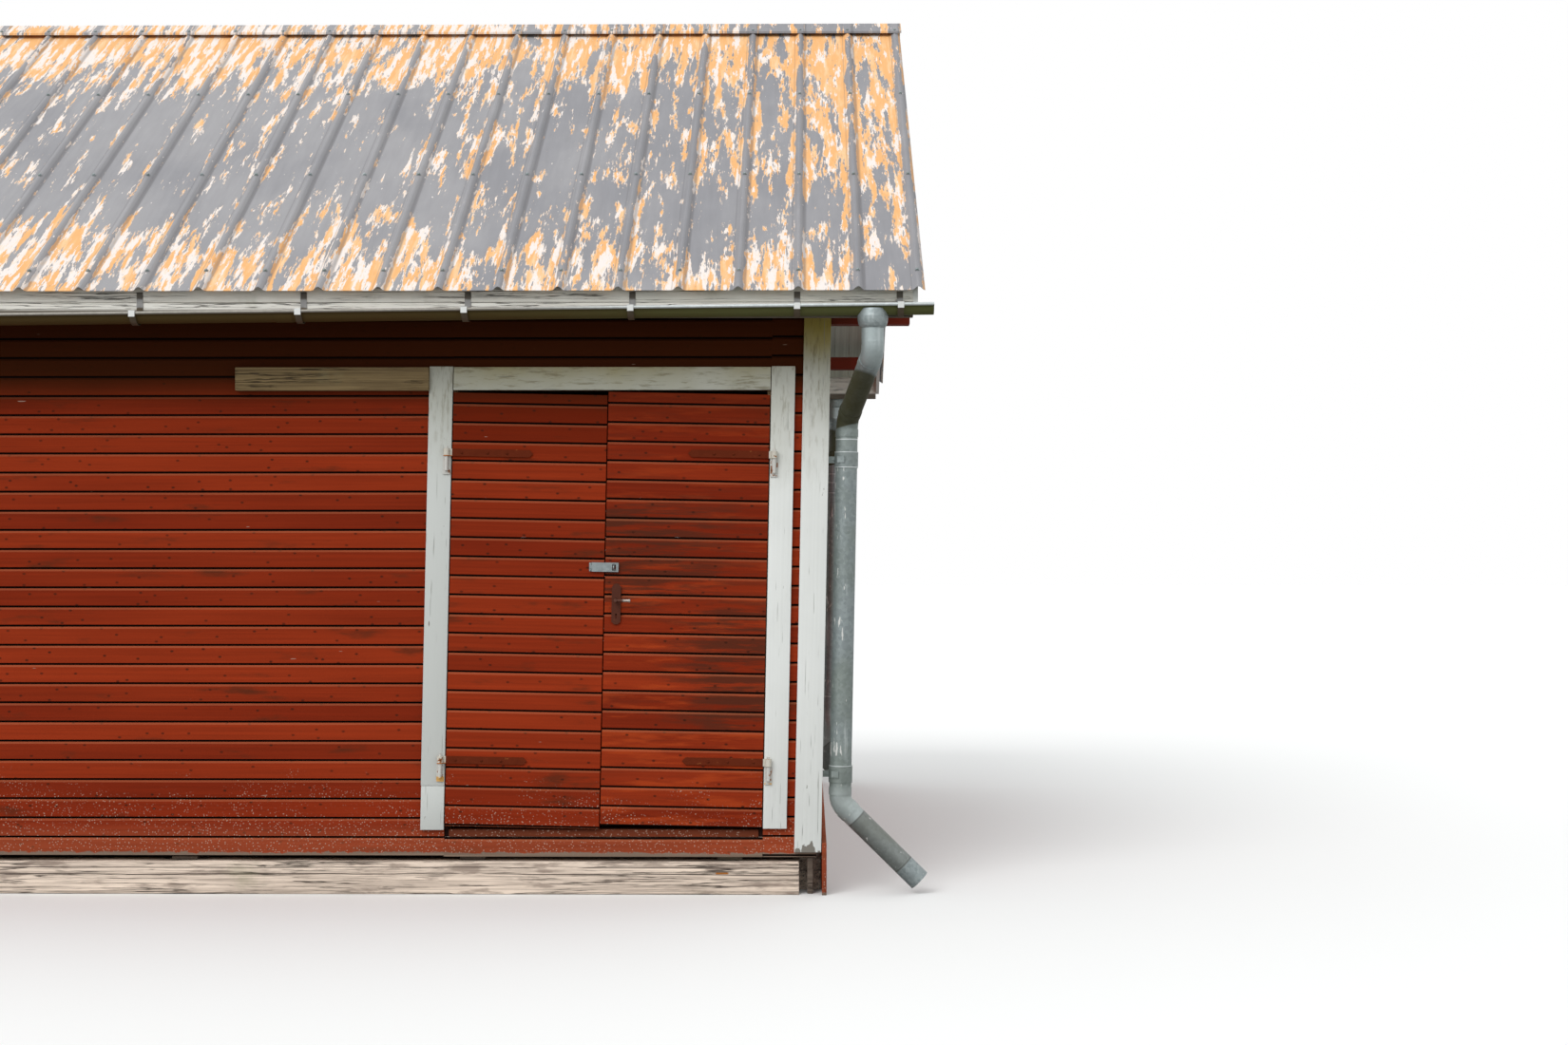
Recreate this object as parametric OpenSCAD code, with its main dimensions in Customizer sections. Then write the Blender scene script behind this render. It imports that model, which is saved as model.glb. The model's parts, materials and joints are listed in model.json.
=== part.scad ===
/* [Building] */
// Length over the boards of the end walls
length = 5950; // [5600:50:6400]
// Depth over the boards of the front and rear walls
depth = 4840; // [4600:20:5200]
// Lean of every upright piece towards the right, in degrees
lean = 1.1; // [0:0.1:1.2]
// Height of the lower edge of the roof sheets above the ground
eave_z = 2768; // [2740:4:2820]
// Pitch of the roof in degrees
pitch = 33.5; // [32:0.5:35]

/* [Walls] */
// Thickness of the wall boards
board_t = 22; // [18:1:24]
// Thickness of the timber frame behind the wall boards
frame_t = 100; // [90:5:120]
// Width of a stud seen from inside
stud_w = 50; // [40:5:60]
// Height of the bottom edge of the wall boards above the ground
wall_z = 174; // [172:1:180]
// Width of the white corner boards
corner_w = 125; // [110:5:140]
// Width of the white boards round the doorway
trim_w = 110; // [100:5:120]
// Thickness of the white boards
trim_t = 22; // [20:1:25]

/* [Doors] */
// Distance from the right end of the wall boards to the doorway
door_offset = 250; // [240:5:600]
// Width of the doorway between the white boards
door_w = 1483; // [1400:1:1600]
// Height of the underside of the head board above the ground
door_head_z = 2344; // [2342:1:2354]
// Width of the left leaf
left_leaf_w = 717; // [700:1:760]
// Height of a leaf
leaf_h = 2014; // [1990:1:2016]
// Thickness of a leaf, boards and back frame together
leaf_t = 38; // [34:1:40]
// Gap round the leaves
leaf_gap = 5; // [4:0.5:6]
// Length of a strap hinge along the leaf
strap_l = 375; // [300:5:420]
// Height of a strap hinge
strap_h = 34; // [30:1:40]

/* [Roof] */
// Reach of the roof sheets past the wall boards at the eaves
eave_reach = 350; // [320:5:380]
// Reach of the roof sheets past the wall boards at the ends
verge_reach = 467; // [440:1:480]
// Distance between two ribs of the sheets
rib_pitch = 270.5; // [250:0.5:300]
// Width of a rib at its foot
rib_w = 60; // [50:2:70]
// Height of a rib
rib_h = 20; // [16:1:26]
// Thickness of the roof boards
roof_board_t = 22; // [18:1:25]
// Width of one flange of the ridge cap
cap_w = 125; // [100:5:160]

/* [Gutters] */
// Outer radius of the half round gutter
gutter_r = 50; // [46:0.5:54]
// Fall of the gutters towards the left, in degrees
gutter_fall = 0.6; // [0:0.1:0.8]
// Outer radius of the downpipe
pipe_r = 51; // [45:1:55]
// Distance between two gutter brackets
bracket_step = 745; // [600:5:800]

/* [Hidden] */

$fn = 48;

RED = [0.5, 0.16, 0.09];
WHITE = [0.84, 0.85, 0.83];
GREY_WOOD = [0.6, 0.54, 0.48];
BARE_WOOD = [0.72, 0.6, 0.44];
ROOF_GREY = [0.58, 0.6, 0.63];
ZINC = [0.66, 0.69, 0.7];
BROWN_IRON = [0.3, 0.2, 0.15];

half_l = length / 2;
half_d = depth / 2;
sway_z = 1326; // height at which a leaning piece stands at its nominal place
foot_x = sway(wall_z);
seat = 0.2; // play between two pieces that bear on each other
far = 20000; // reach of a block that only cuts

// Timber below the walls
timber_h = 155;
timber_w = 150;
side_in = half_l + trim_t + 4; // inner face of the plinth boards
plinth_t = 22;
plinth_h = 240;
sill_h = 91;
floor_t = 22;
sill_top = wall_z + sill_h;
floor_z = sill_top + floor_t;

// Doorway
open_r = half_l - door_offset;
open_l = open_r - door_w;
right_leaf_w = (door_w - 2 * leaf_gap) * cos(lean) - left_leaf_w - leaf_gap;
left_foot_z = 320; // height of the hinge side foot of the left leaf
right_foot_z = 308; // height of the hinge side foot of the right leaf
face_y = -half_d - trim_t; // front face of the white boards and of the leaves
pin_out = 25; // hinge pin beyond the edge of a leaf
pin_front = 17; // hinge pin in front of the leaves
pin_r = 6;
strap_t = 6;
strap_low = 307; // centre of the lower strap above the foot of the leaf
strap_high = 1735; // centre of the upper strap above the foot of the leaf
left_edge_x = open_l + leaf_gap; // hinge edge of the left leaf at the nominal height
right_edge_x = open_r - leaf_gap;
lock_in = 55; // lever spindle from the free edge of the right leaf
lock_up = 1046; // lever spindle above the foot of the right leaf
hasp_up = 1215; // hasp above the foot of the left leaf
hasp_l = 138;
hasp_h = 43;
hasp_in = 64; // hasp pin from the free edge of the left leaf
staple_in = 46; // staple from the free edge of the left leaf to the right
pin_y = 6; // pin of the hasp in front of the leaf
neck_h = 16; // height of the hasp between the knuckles of its hinge

// Roof
run = half_d + eave_reach;
deck_drop = roof_board_t / cos(pitch);
sheet_t = 2;
verge_x = half_l + verge_reach; // outer edge of the sheets
barge_t = 22;
barge_x = verge_x - 30; // outer face of the barge boards
deck_x = barge_x - barge_t;
beam_x = deck_x - seat; // ends of the beams and boards between the barge boards
fascia_y = run - 50; // outer face of the fascia
deck_y = fascia_y - 22; // edge of the roof boards
fascia_low = eave_z - 114; // lower edge of the fascia
plate_w = 100;
front_plate_z = 2655;
rear_plate_z = 2830;
rear_plate_top = 2912;
purlin_w = 100;
purlin_h = 150;
purlin_y = 1150;
beam_gap = 1; // play of a beam in the wall it passes through
cap_lip = 9; // depth of the turned down edges of the ridge cap

// Gutters and pipes
gutter_t = 2;
gutter_mid_z = eave_z - 97; // rim height at the middle of the building
bracket_t = 3;
ring_play = 5; // room between a gutter and the ring of its bracket
gutter_y = fascia_y + seat + bracket_t + ring_play + gutter_r;
front_gutter_x = verge_x + 37; // ends of the gutters
rear_gutter_x = 3320;
bead_r = 8;
bead_drop = 7; // middle of the bead below the rim
bead_y = gutter_r + bead_r - 1.4; // middle of the bead from the middle of the trough
gutter_joints = [-1450, 560]; // places where two lengths of a gutter meet
front_outlet_x = half_l + 231;
rear_outlet_x = half_l + 125;
funnel_drop = 107; // foot of the funnel below the rim of the gutter
pipe_t = 2;
bend_r = 90;
pipe_play = 0.4; // play in a joint of the pipe
shoe_z = 425; // height at which the pipe turns into its shoe
socket_l = 32;
pipe_y = -half_d + 40;

function sway(z) = tan(lean) * (z - sway_z);
function deck_top(y) = eave_z + (run - abs(y)) * tan(pitch);
function deck_under(y) = deck_top(y) - deck_drop;
function beam_top(y) = deck_under(y) - seat;
function gutter_z(x) = gutter_mid_z + x * tan(gutter_fall);
function unit(v) = v / norm(v);

wall_top = deck_under(half_d) - 1; // top of the boards of the long walls
end_stud_x = half_l - board_t - stud_w / 2 - 2 * seat; // studs in the corners

// A board or slab between two heights that leans to the right
module upright(x0, x1, y0, y1, z0, z1) {
    translate([0, y1, 0])
        rotate([90, 0, 0])
            linear_extrude(y1 - y0)
                polygon([
                    [x0 + sway(z0), z0],
                    [x1 + sway(z0), z0],
                    [x1 + sway(z1), z1],
                    [x0 + sway(z1), z1]
                ]);
}

// A level block between two corners
module block(x0, x1, y0, y1, z0, z1) {
    translate([x0, y0, z0])
        cube([x1 - x0, y1 - y0, z1 - z0]);
}

// A profile in the YZ plane drawn along X
module along_x(x0, x1) {
    translate([x0, 0, 0])
        rotate([90, 0, 90])
            linear_extrude(x1 - x0)
                children();
}

// Turns a piece drawn plumb about its own place, so that it leans with the building
module leaning(x) {
    translate([x, 0, sway_z])
        rotate([0, lean, 0])
            translate([-x, 0, -sway_z])
                children();
}

// The same piece at the front and at the rear
module front_and_rear() {
    children();
    mirror([0, 1, 0])
        children();
}

// The same piece at the right and the left of the foot of the walls
module both_feet() {
    translate([foot_x, 0, 0]) {
        children();
        mirror([1, 0, 0])
            children();
    }
}

// Weathered squared timbers lying on the ground
module base_timbers() {
    outer_y = half_d + 12;
    color(GREY_WOOD) {
        front_and_rear()
            block(foot_x - half_l, foot_x + half_l - 76, -outer_y, -outer_y + timber_w, 0, timber_h);
        both_feet()
            block(side_in - timber_w, side_in - seat, -half_d + timber_w, half_d - timber_w, 0, timber_h);
    }
}

// Blocks between the base timbers and the sill beams, and planks on edge under the right corners
module packing_blocks() {
    low = timber_h + seat;
    top = wall_z - seat;
    color(GREY_WOOD) {
        front_and_rear() {
            for (x = [-2700, -1350, 0, 1350, 2550])
                block(x - 60, x + 60, -half_d + 40, -half_d + 110, low, top);
            block(foot_x + half_l - 42, foot_x + half_l - 14, -half_d + 24, -half_d + 124, 0, top);
        }
        both_feet()
            for (y = [-1400, 0, 1400])
                block(half_l - board_t - 80, half_l - board_t - 10, y - 60, y + 60, low, top);
    }
}

// Red boards between the ground and the end walls
module plinth_boards() {
    color(RED)
        both_feet()
            block(side_in, side_in + plinth_t, face_y, -face_y, 0, plinth_h);
}

// Ring of beams that carries the walls, plumb behind the leaning boards
module sill_beams() {
    outer_x = half_l - board_t - 2;
    outer_y = half_d - board_t - seat;
    color(GREY_WOOD)
        translate([foot_x, 0, 0])
            difference() {
                block(-outer_x, outer_x, -outer_y, outer_y, wall_z, sill_top);
                block(-outer_x + frame_t, outer_x - frame_t, -outer_y + frame_t, outer_y - frame_t,
                    wall_z - 1, sill_top + 1);
            }
}

// Floor boards on joists that stand between the sill beams
module floor() {
    in_x = half_l - board_t - frame_t - 3;
    in_y = half_d - board_t - frame_t - 2 * seat;
    joists = 9;
    color(GREY_WOOD)
        translate([foot_x, 0, 0]) {
            block(-in_x, in_x, -in_y, in_y, sill_top, floor_z);
            for (i = [0 : joists - 1])
                let (x = -in_x + 100 + i * (2 * in_x - 200) / (joists - 1))
                    block(x - 25, x + 25, -in_y, in_y, wall_z, sill_top - seat);
        }
}

// Narrow board under the leaves, set back from the wall boards
module threshold() {
    leaf_low = min(left_foot_z - left_leaf_w * sin(lean), right_foot_z);
    color(RED)
        upright(open_l + 20, open_r - 20, -half_d + 8, -half_d + board_t + frame_t,
            sill_top + seat, leaf_low - leaf_gap - 2);
}

// Wall boards of a long side between two places, cut to the roof boards
module long_wall(x0, x1, z0, z1) {
    upright(x0, x1, -half_d, -half_d + board_t, z0, z1);
}

module front_wall_left() {
    color(RED)
        long_wall(-half_l, open_l, wall_z, wall_top);
}

module front_wall_right() {
    color(RED)
        long_wall(open_r, half_l, wall_z, wall_top);
}

module front_wall_over_door() {
    color(RED)
        long_wall(open_l + seat, open_r - seat, door_head_z, wall_top);
}

module front_wall_below_door() {
    color(RED)
        long_wall(open_l + seat, open_r - seat, wall_z, sill_top);
}

module rear_wall() {
    color(RED)
        mirror([0, 1, 0])
            long_wall(-half_l, half_l, wall_z, wall_top);
}

// Outline of an end wall under the roof boards
module gable_outline(y_end, z_low) {
    polygon([
        [-y_end, z_low],
        [y_end, z_low],
        [y_end, deck_under(y_end) - 1],
        [0, deck_under(0) - 1],
        [-y_end, deck_under(y_end) - 1]
    ]);
}

// Room for the beams that pass through the end walls
module beam_room() {
    block(-far, far, -half_d - 1, -half_d + board_t + plate_w + beam_gap,
        front_plate_z - beam_gap, front_plate_z + 600);
    block(-far, far, half_d - board_t - plate_w - beam_gap, half_d + 1,
        rear_plate_z - beam_gap, rear_plate_top + beam_gap);
    for (y = [-purlin_y, 0, purlin_y])
        block(-far, far, y - purlin_w / 2 - beam_gap, y + purlin_w / 2 + beam_gap,
            deck_under(abs(y) + purlin_w / 2) - purlin_h - beam_gap, deck_under(0) + 100);
}

module gable_wall(x0) {
    difference() {
        leaning(x0)
            along_x(x0, x0 + board_t)
                gable_outline(half_d - board_t - seat, wall_z);
        beam_room();
    }
}

module left_gable_wall() {
    color(RED)
        gable_wall(-half_l);
}

module right_gable_wall() {
    color(RED)
        gable_wall(half_l - board_t);
}

// Studs of a long wall from the sill beams to the wall plate
module studs(xs, top_z) {
    y0 = -half_d + board_t + seat;
    for (x = xs)
        upright(x - stud_w / 2, x + stud_w / 2, y0, y0 + frame_t, sill_top + seat, top_z - seat);
}

module front_frame() {
    y0 = -half_d + board_t + seat;
    stop = 18; // overlap of the door posts behind the leaves
    posts = [open_l + stop - stud_w / 2, open_r - stop + stud_w / 2];
    color(BARE_WOOD) {
        studs([-end_stud_x, -2200, -1500, -800, -100, 600, posts[0], posts[1], end_stud_x],
            front_plate_z);
        upright(open_l + stop + seat, open_r - stop - seat, y0, y0 + frame_t,
            door_head_z, door_head_z + 100);
    }
}

module rear_frame() {
    color(BARE_WOOD)
        mirror([0, 1, 0])
            studs([-end_stud_x, -2200, -1470, -735, 0, 735, 1470, 2200, end_stud_x], rear_plate_z);
}

// Studs of the end walls, cut to the slope of the roof
module gable_frame(x0) {
    in_y = half_d - board_t - frame_t;
    difference() {
        leaning(x0)
            intersection() {
                along_x(x0, x0 + frame_t)
                    gable_outline(in_y, wall_z);
                union()
                    for (y = [-1725, -purlin_y, -575, 0, 575, purlin_y, 1725])
                        block(x0 - 1, x0 + frame_t + 1, y - stud_w / 2, y + stud_w / 2, 0, far);
            }
        beam_room();
        block(-far, far, -half_d, half_d, 0, sill_top + seat);
    }
}

module gable_frames() {
    color(BARE_WOOD) {
        gable_frame(-half_l + board_t + seat);
        gable_frame(half_l - board_t - frame_t - seat);
    }
}

// White boards round the doorway, the jambs reaching a little below the leaves
module door_trim() {
    back_y = -half_d - seat;
    top_z = door_head_z + trim_w + 1;
    color(WHITE) {
        upright(open_l - trim_w, open_l, face_y, back_y, left_foot_z - 20, top_z);
        upright(open_r, open_r + trim_w, face_y, back_y, left_foot_z - 12, top_z);
        upright(open_l + seat, open_r - seat, face_y, back_y, door_head_z, top_z);
    }
}

// Bare board fixed to the wall to the left of the doorway
module ledger_board() {
    ledger_l = 900;
    end_x = open_l - trim_w - seat;
    color(BARE_WOOD)
        upright(end_x - ledger_l, end_x, -half_d - 45, -half_d - seat,
            door_head_z - 2, door_head_z + trim_w - 4);
}

// White boards that cover the corners, one on each face
module corner_pair(side, plate_z) {
    foot_z = 198;
    x_in = side > 0 ? half_l + trim_t - corner_w : -half_l - trim_t;
    upright(x_in, x_in + corner_w, face_y, -half_d - seat, foot_z, deck_under(-face_y) - 2);
    x_side = side > 0 ? half_l + seat : -half_l - trim_t;
    upright(x_side, x_side + trim_t - seat, -half_d, -half_d + corner_w - trim_t, foot_z, plate_z - 2);
}

module corner_boards() {
    color(WHITE) {
        for (side = [-1, 1])
            corner_pair(side, front_plate_z);
        mirror([0, 1, 0])
            for (side = [-1, 1])
                corner_pair(side, rear_plate_z);
    }
}

// Beams along the tops of the long walls, the front one cut to the slope of the roof
module wall_plates() {
    outer = half_d - board_t - seat;
    color(RED) {
        along_x(-beam_x, beam_x)
            polygon([
                [-outer, front_plate_z],
                [-outer + plate_w, front_plate_z],
                [-outer + plate_w, beam_top(outer - plate_w)],
                [-outer, beam_top(outer)]
            ]);
        block(-beam_x, beam_x, outer - plate_w, outer, rear_plate_z, rear_plate_top);
    }
}

// Beam under the slope, its top cut to the roof boards
module slope_beam(y) {
    y0 = y - purlin_w / 2;
    y1 = y + purlin_w / 2;
    low = deck_under(max(abs(y0), abs(y1))) - purlin_h;
    top = y == 0 ? [[y1, beam_top(y1)], [0, beam_top(0)], [y0, beam_top(y0)]]
        : [[y1, beam_top(y1)], [y0, beam_top(y0)]];
    along_x(-beam_x, beam_x)
        polygon(concat([[y0, low], [y1, low]], top));
}

module ridge_beam() {
    color(RED)
        slope_beam(0);
}

module purlins() {
    color(RED) {
        slope_beam(-purlin_y);
        slope_beam(purlin_y);
    }
}

// Roof boards on the beams, one slab for each slope
module roof_boards() {
    color(BARE_WOOD)
        front_and_rear()
            along_x(-beam_x, beam_x)
                polygon([
                    [-deck_y, deck_under(deck_y)],
                    [-seat, deck_under(seat)],
                    [-seat, deck_top(seat)],
                    [-deck_y, deck_top(deck_y)]
                ]);
}

// Height of the sheet above the boards at a distance from the middle of a rib
function rib_rise(u) = abs(u) >= rib_w / 2 ? 0 : rib_h * (1 + cos(360 * u / rib_w)) / 2;

// Places along the sheet where its outline is drawn, rib by rib
rib_count = floor((2 * verge_x - rib_w) / rib_pitch) + 1;
rib_steps = 8;
sheet_xs = concat(
    [-verge_x],
    [for (i = [rib_count - 1 : -1 : 0])
        for (s = [0 : rib_steps])
            verge_x - rib_w / 2 - i * rib_pitch + rib_w * (s / rib_steps - 0.5)]
);
function nearest_rib(x) = let (i = round((verge_x - rib_w / 2 - x) / rib_pitch))
    x - (verge_x - rib_w / 2 - min(i, rib_count - 1) * rib_pitch);

// Ribbed sheet of one slope, drawn flat and turned to the pitch
module roof_sheet() {
    slope_l = run / cos(pitch);
    upper = [for (x = sheet_xs) [x, rib_rise(nearest_rib(x)) + sheet_t]];
    lower = [for (i = [len(sheet_xs) - 1 : -1 : 0]) [sheet_xs[i], rib_rise(nearest_rib(sheet_xs[i]))]];
    translate([0, -run, eave_z + 2 * seat])
        rotate([pitch, 0, 0])
            translate([0, slope_l - 2, 0])
                rotate([90, 0, 0])
                    linear_extrude(slope_l - 2)
                        polygon(concat(upper, lower));
}

module front_roof_sheet() {
    color(ROOF_GREY)
        roof_sheet();
}

module rear_roof_sheet() {
    color(ROOF_GREY)
        mirror([0, 1, 0])
            roof_sheet();
}

// Folded cap over the ridge, its lips turned down onto the ribs, in three lapped lengths
module ridge_cap() {
    top = deck_top(0) + (rib_h + sheet_t) / cos(pitch) + cap_lip + 1;
    y_end = cap_w * cos(pitch);
    z_end = top - cap_w * sin(pitch);
    z_lip = z_end - cap_lip;
    cap_t = 2 / cos(pitch);
    end_x = verge_x + 8;
    joints = [-end_x, -1150, 1150, end_x];
    color(ROOF_GREY)
        for (i = [0 : 2])
            along_x(joints[i] + seat, joints[i + 1] - seat)
                polygon([
                    [-y_end, z_end],
                    [0, top],
                    [y_end, z_end],
                    [y_end, z_lip],
                    [y_end + 2, z_lip],
                    [y_end + 2, z_end + cap_t],
                    [0, top + cap_t],
                    [-y_end - 2, z_end + cap_t],
                    [-y_end - 2, z_lip],
                    [-y_end, z_lip]
                ]);
}

// Two weathered boards along the edge of the roof boards, nailed to a third behind them
module fascia_boards() {
    upper_z = 2722;
    back_y = -deck_y - seat;
    color(GREY_WOOD)
        front_and_rear() {
            along_x(-beam_x, beam_x)
                polygon([
                    [-fascia_y, upper_z],
                    [back_y, upper_z],
                    [back_y, deck_top(deck_y)],
                    [-fascia_y, deck_top(fascia_y)]
                ]);
            block(-beam_x, beam_x, -fascia_y + 2, back_y, fascia_low, upper_z - seat);
            along_x(-beam_x, beam_x)
                polygon([
                    [-deck_y, fascia_low],
                    [-deck_y + 22, fascia_low],
                    [-deck_y + 22, beam_top(deck_y - 22)],
                    [-deck_y, beam_top(deck_y)]
                ]);
        }
}

// Boards along the sloping edges of the roof
module barge_boards() {
    barge_h = 140;
    color(WHITE)
        for (x = [-barge_x, deck_x])
            along_x(x, x + barge_t)
                polygon([
                    [-fascia_y, deck_top(fascia_y) - seat],
                    [0, deck_top(0) - seat],
                    [fascia_y, deck_top(fascia_y) - seat],
                    [fascia_y, deck_top(fascia_y) - barge_h + 30],
                    [fascia_y - 40, deck_top(fascia_y) - barge_h + 26],
                    [0, deck_top(0) - barge_h],
                    [-fascia_y + 40, deck_top(fascia_y) - barge_h + 26],
                    [-fascia_y, deck_top(fascia_y) - barge_h + 30]
                ]);
}

// A length of half round trough with a bead along its outer rim, closed at an end that has a cap
module gutter_length(x0, x1, cap0, cap1) {
    difference() {
        along_x(x0, x1) {
            difference() {
                circle(gutter_r);
                translate([-gutter_r - 1, 0])
                    square([2 * gutter_r + 2, gutter_r + 1]);
            }
            translate([-bead_y, -bead_drop])
                circle(bead_r);
        }
        along_x(x0 + cap0, x1 - cap1)
            circle(gutter_r - gutter_t);
    }
}

// Sleeve that two lengths of the trough lie in where they meet
module gutter_sleeve() {
    r = gutter_r + 0.3;
    difference() {
        circle(r + 1.5);
        circle(r);
        translate([-gutter_r - 10, -bead_drop - bead_r - 1])
            square([2 * gutter_r + 20, gutter_r + 30]);
    }
}

// Three lengths of trough with a cap at each end and a hole over the funnel
module gutter(end_x, outlet_x) {
    ends = concat([-end_x], gutter_joints, [end_x]);
    difference() {
        translate([0, -gutter_y, gutter_mid_z])
            rotate([0, -gutter_fall, 0]) {
                gutter_length(ends[0], ends[1] - seat, gutter_t, -1);
                gutter_length(ends[1] + seat, ends[2] - seat, -1, -1);
                gutter_length(ends[2] + seat, ends[3], -1, gutter_t);
                for (x = gutter_joints)
                    along_x(x - 40, x + 40)
                        gutter_sleeve();
            }
        translate([outlet_x, -gutter_y, gutter_z(outlet_x) - gutter_r - 20])
            cylinder(h = 60, r = pipe_r - 8);
    }
}

module front_gutter() {
    color(ZINC)
        gutter(front_gutter_x, front_outlet_x);
}

module rear_gutter() {
    color(ZINC)
        mirror([0, 1, 0])
            gutter(rear_gutter_x, rear_outlet_x);
}

// Strap that carries a gutter: up the fascia, round the trough, out under the bead and round it
module gutter_bracket(x) {
    strap_w = 28;
    in_r = gutter_r + ring_play;
    out_r = in_r + bracket_t;
    arm_z = -bead_drop - bead_r - 0.8; // top of the arm that the bead lies on
    clip_y = -bead_y - bead_r - 1 - bracket_t;
    clip_low = -24;
    clip_top = 4;
    hook_top = eave_z - gutter_z(x);
    hook_out = 9;
    translate([0, -gutter_y, gutter_z(x)])
        along_x(x - strap_w / 2, x + strap_w / 2) {
            difference() {
                circle(out_r);
                circle(in_r);
                translate([-out_r - 1, arm_z - 1])
                    square([out_r + 1, 2 * out_r]);
                translate([0, -4])
                    square([out_r + 1, 2 * out_r]);
            }
            translate([in_r, -5])
                square([bracket_t, hook_top + 5]);
            translate([in_r - hook_out, hook_top - bracket_t])
                square([hook_out + 1, bracket_t]);
            translate([clip_y, arm_z - bracket_t])
                square([-gutter_r - 1.5 - clip_y, bracket_t]);
            translate([clip_y, clip_low])
                square([bracket_t, clip_top - clip_low]);
            translate([clip_y, clip_top - 2])
                square([bracket_t + 5, 2]);
        }
}

module gutter_brackets() {
    first_x = half_l - 109;
    color(ZINC) {
        front_and_rear()
            for (i = [0 : 8])
                gutter_bracket(first_x - i * bracket_step);
        gutter_bracket(half_l + 355);
        mirror([0, 1, 0])
            gutter_bracket(half_l + 275);
    }
}

// A straight tube between two points
module tube(a, b, r, wall) {
    run_v = b - a;
    turn = atan2(run_v[1], run_v[0]);
    tip = acos(run_v[2] / norm(run_v));
    translate(a)
        rotate([0, tip, turn])
            difference() {
                cylinder(h = norm(run_v), r = r);
                translate([0, 0, -1])
                    cylinder(h = norm(run_v) + 2, r = r - wall);
            }
}

// A bend round the corner b of the way a, b, c
module bend(a, b, c, r, wall) {
    u = unit(b - a);
    v = unit(c - b);
    turn = acos(u * v);
    reach = bend_r * tan(turn / 2);
    start = b - u * reach;
    side = unit(v - u * (u * v));
    centre = start + side * bend_r;
    axis = cross(-side, u);
    multmatrix([
        [-side[0], u[0], axis[0], centre[0]],
        [-side[1], u[1], axis[1], centre[1]],
        [-side[2], u[2], axis[2], centre[2]],
        [0, 0, 0, 1]
    ])
        rotate_extrude(angle = turn)
            translate([bend_r, 0])
                difference() {
                    circle(r);
                    circle(r - wall);
                }
}

function bend_reach(a, b, c) = bend_r * tan(acos(unit(b - a) * unit(c - b)) / 2);

// Corners of the way of a downpipe, from the foot of the funnel to the end of the shoe
function pipe_top(outlet_x) = [outlet_x, -gutter_y, gutter_z(outlet_x) - funnel_drop];
function pipe_way(outlet_x, shoe) =
    let (c = [half_l + 106 + sway(shoe_z), pipe_y, shoe_z])
    [
        pipe_top(outlet_x),
        [outlet_x, -gutter_y, 2483],
        [half_l + 106 + sway(2209), pipe_y, 2209],
        c,
        c + shoe
    ];

// A straight length between two points with a socket round each end
module pipe_length(a, b) {
    u = unit(b - a);
    tube(a + u * pipe_play, b - u * pipe_play, pipe_r, pipe_t);
    for (end = [[a, u], [b, -u]])
        tube(end[0] - end[1] * 3, end[0] + end[1] * socket_l, pipe_r + pipe_play + pipe_t, pipe_t);
}

// Bowl that hugs the gutter and is drawn in to the width of the pipe
module gutter_funnel(outlet_x) {
    bowl_r = gutter_r + 19;
    bowl_z = 52; // widest place above the foot
    rim = [[-3, 17], [-6, 34]]; // how the wall draws in again above it
    outer = concat(
        [for (a = [90 : -18 : 0]) [pipe_r + (bowl_r - pipe_r) * cos(a), bowl_z * (1 - sin(a))]],
        [for (p = rim) [bowl_r + p[0], bowl_z + p[1]]]
    );
    inner = [for (i = [len(outer) - 1 : -1 : 0]) outer[i] - [pipe_t, 0]];
    difference() {
        translate(pipe_top(outlet_x))
            rotate_extrude()
                polygon(concat(outer, inner));
        translate([0, -gutter_y, gutter_mid_z])
            rotate([0, -gutter_fall, 0])
                along_x(outlet_x - 2 * bowl_r, outlet_x + 2 * bowl_r)
                    circle(gutter_r + 0.5);
        block(outlet_x - bowl_r, outlet_x + bowl_r, -fascia_y - 0.5, -fascia_y + bowl_r,
            fascia_low - 1, fascia_low + 100);
    }
}

module gutter_funnels() {
    color(ZINC) {
        gutter_funnel(front_outlet_x);
        mirror([0, 1, 0])
            gutter_funnel(rear_outlet_x);
    }
}

// Pipe from the funnel to the shoe, in straight lengths and bends
module downpipe(outlet_x, shoe) {
    way = pipe_way(outlet_x, shoe);
    a_reach = bend_reach(way[0], way[1], way[2]);
    b_reach = bend_reach(way[1], way[2], way[3]);
    c_reach = bend_reach(way[2], way[3], way[4]);
    ab = unit(way[2] - way[1]);
    bc = unit(way[3] - way[2]);
    ce = unit(way[4] - way[3]);
    tube(way[0] - [0, 0, pipe_play], way[1] + [0, 0, a_reach + pipe_play], pipe_r, pipe_t);
    bend(way[0], way[1], way[2], pipe_r, pipe_t);
    pipe_length(way[1] + ab * a_reach, way[2] - ab * b_reach);
    bend(way[1], way[2], way[3], pipe_r, pipe_t);
    pipe_length(way[2] + bc * b_reach, way[3] - bc * c_reach);
    bend(way[2], way[3], way[4], pipe_r, pipe_t);
    tube(way[3] + ce * (c_reach + pipe_play), way[4], pipe_r, pipe_t);
    tube(way[3] + ce * (c_reach - 3), way[3] + ce * (c_reach + socket_l),
        pipe_r + pipe_play + pipe_t, pipe_t);
}

module front_downpipe() {
    color(ZINC)
        downpipe(front_outlet_x, [370, 0, -363]);
}

// Its shoe points away from the building, not along it
module rear_downpipe() {
    color(ZINC)
        mirror([0, 1, 0])
            downpipe(rear_outlet_x, [0, -340, -340]);
}

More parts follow.
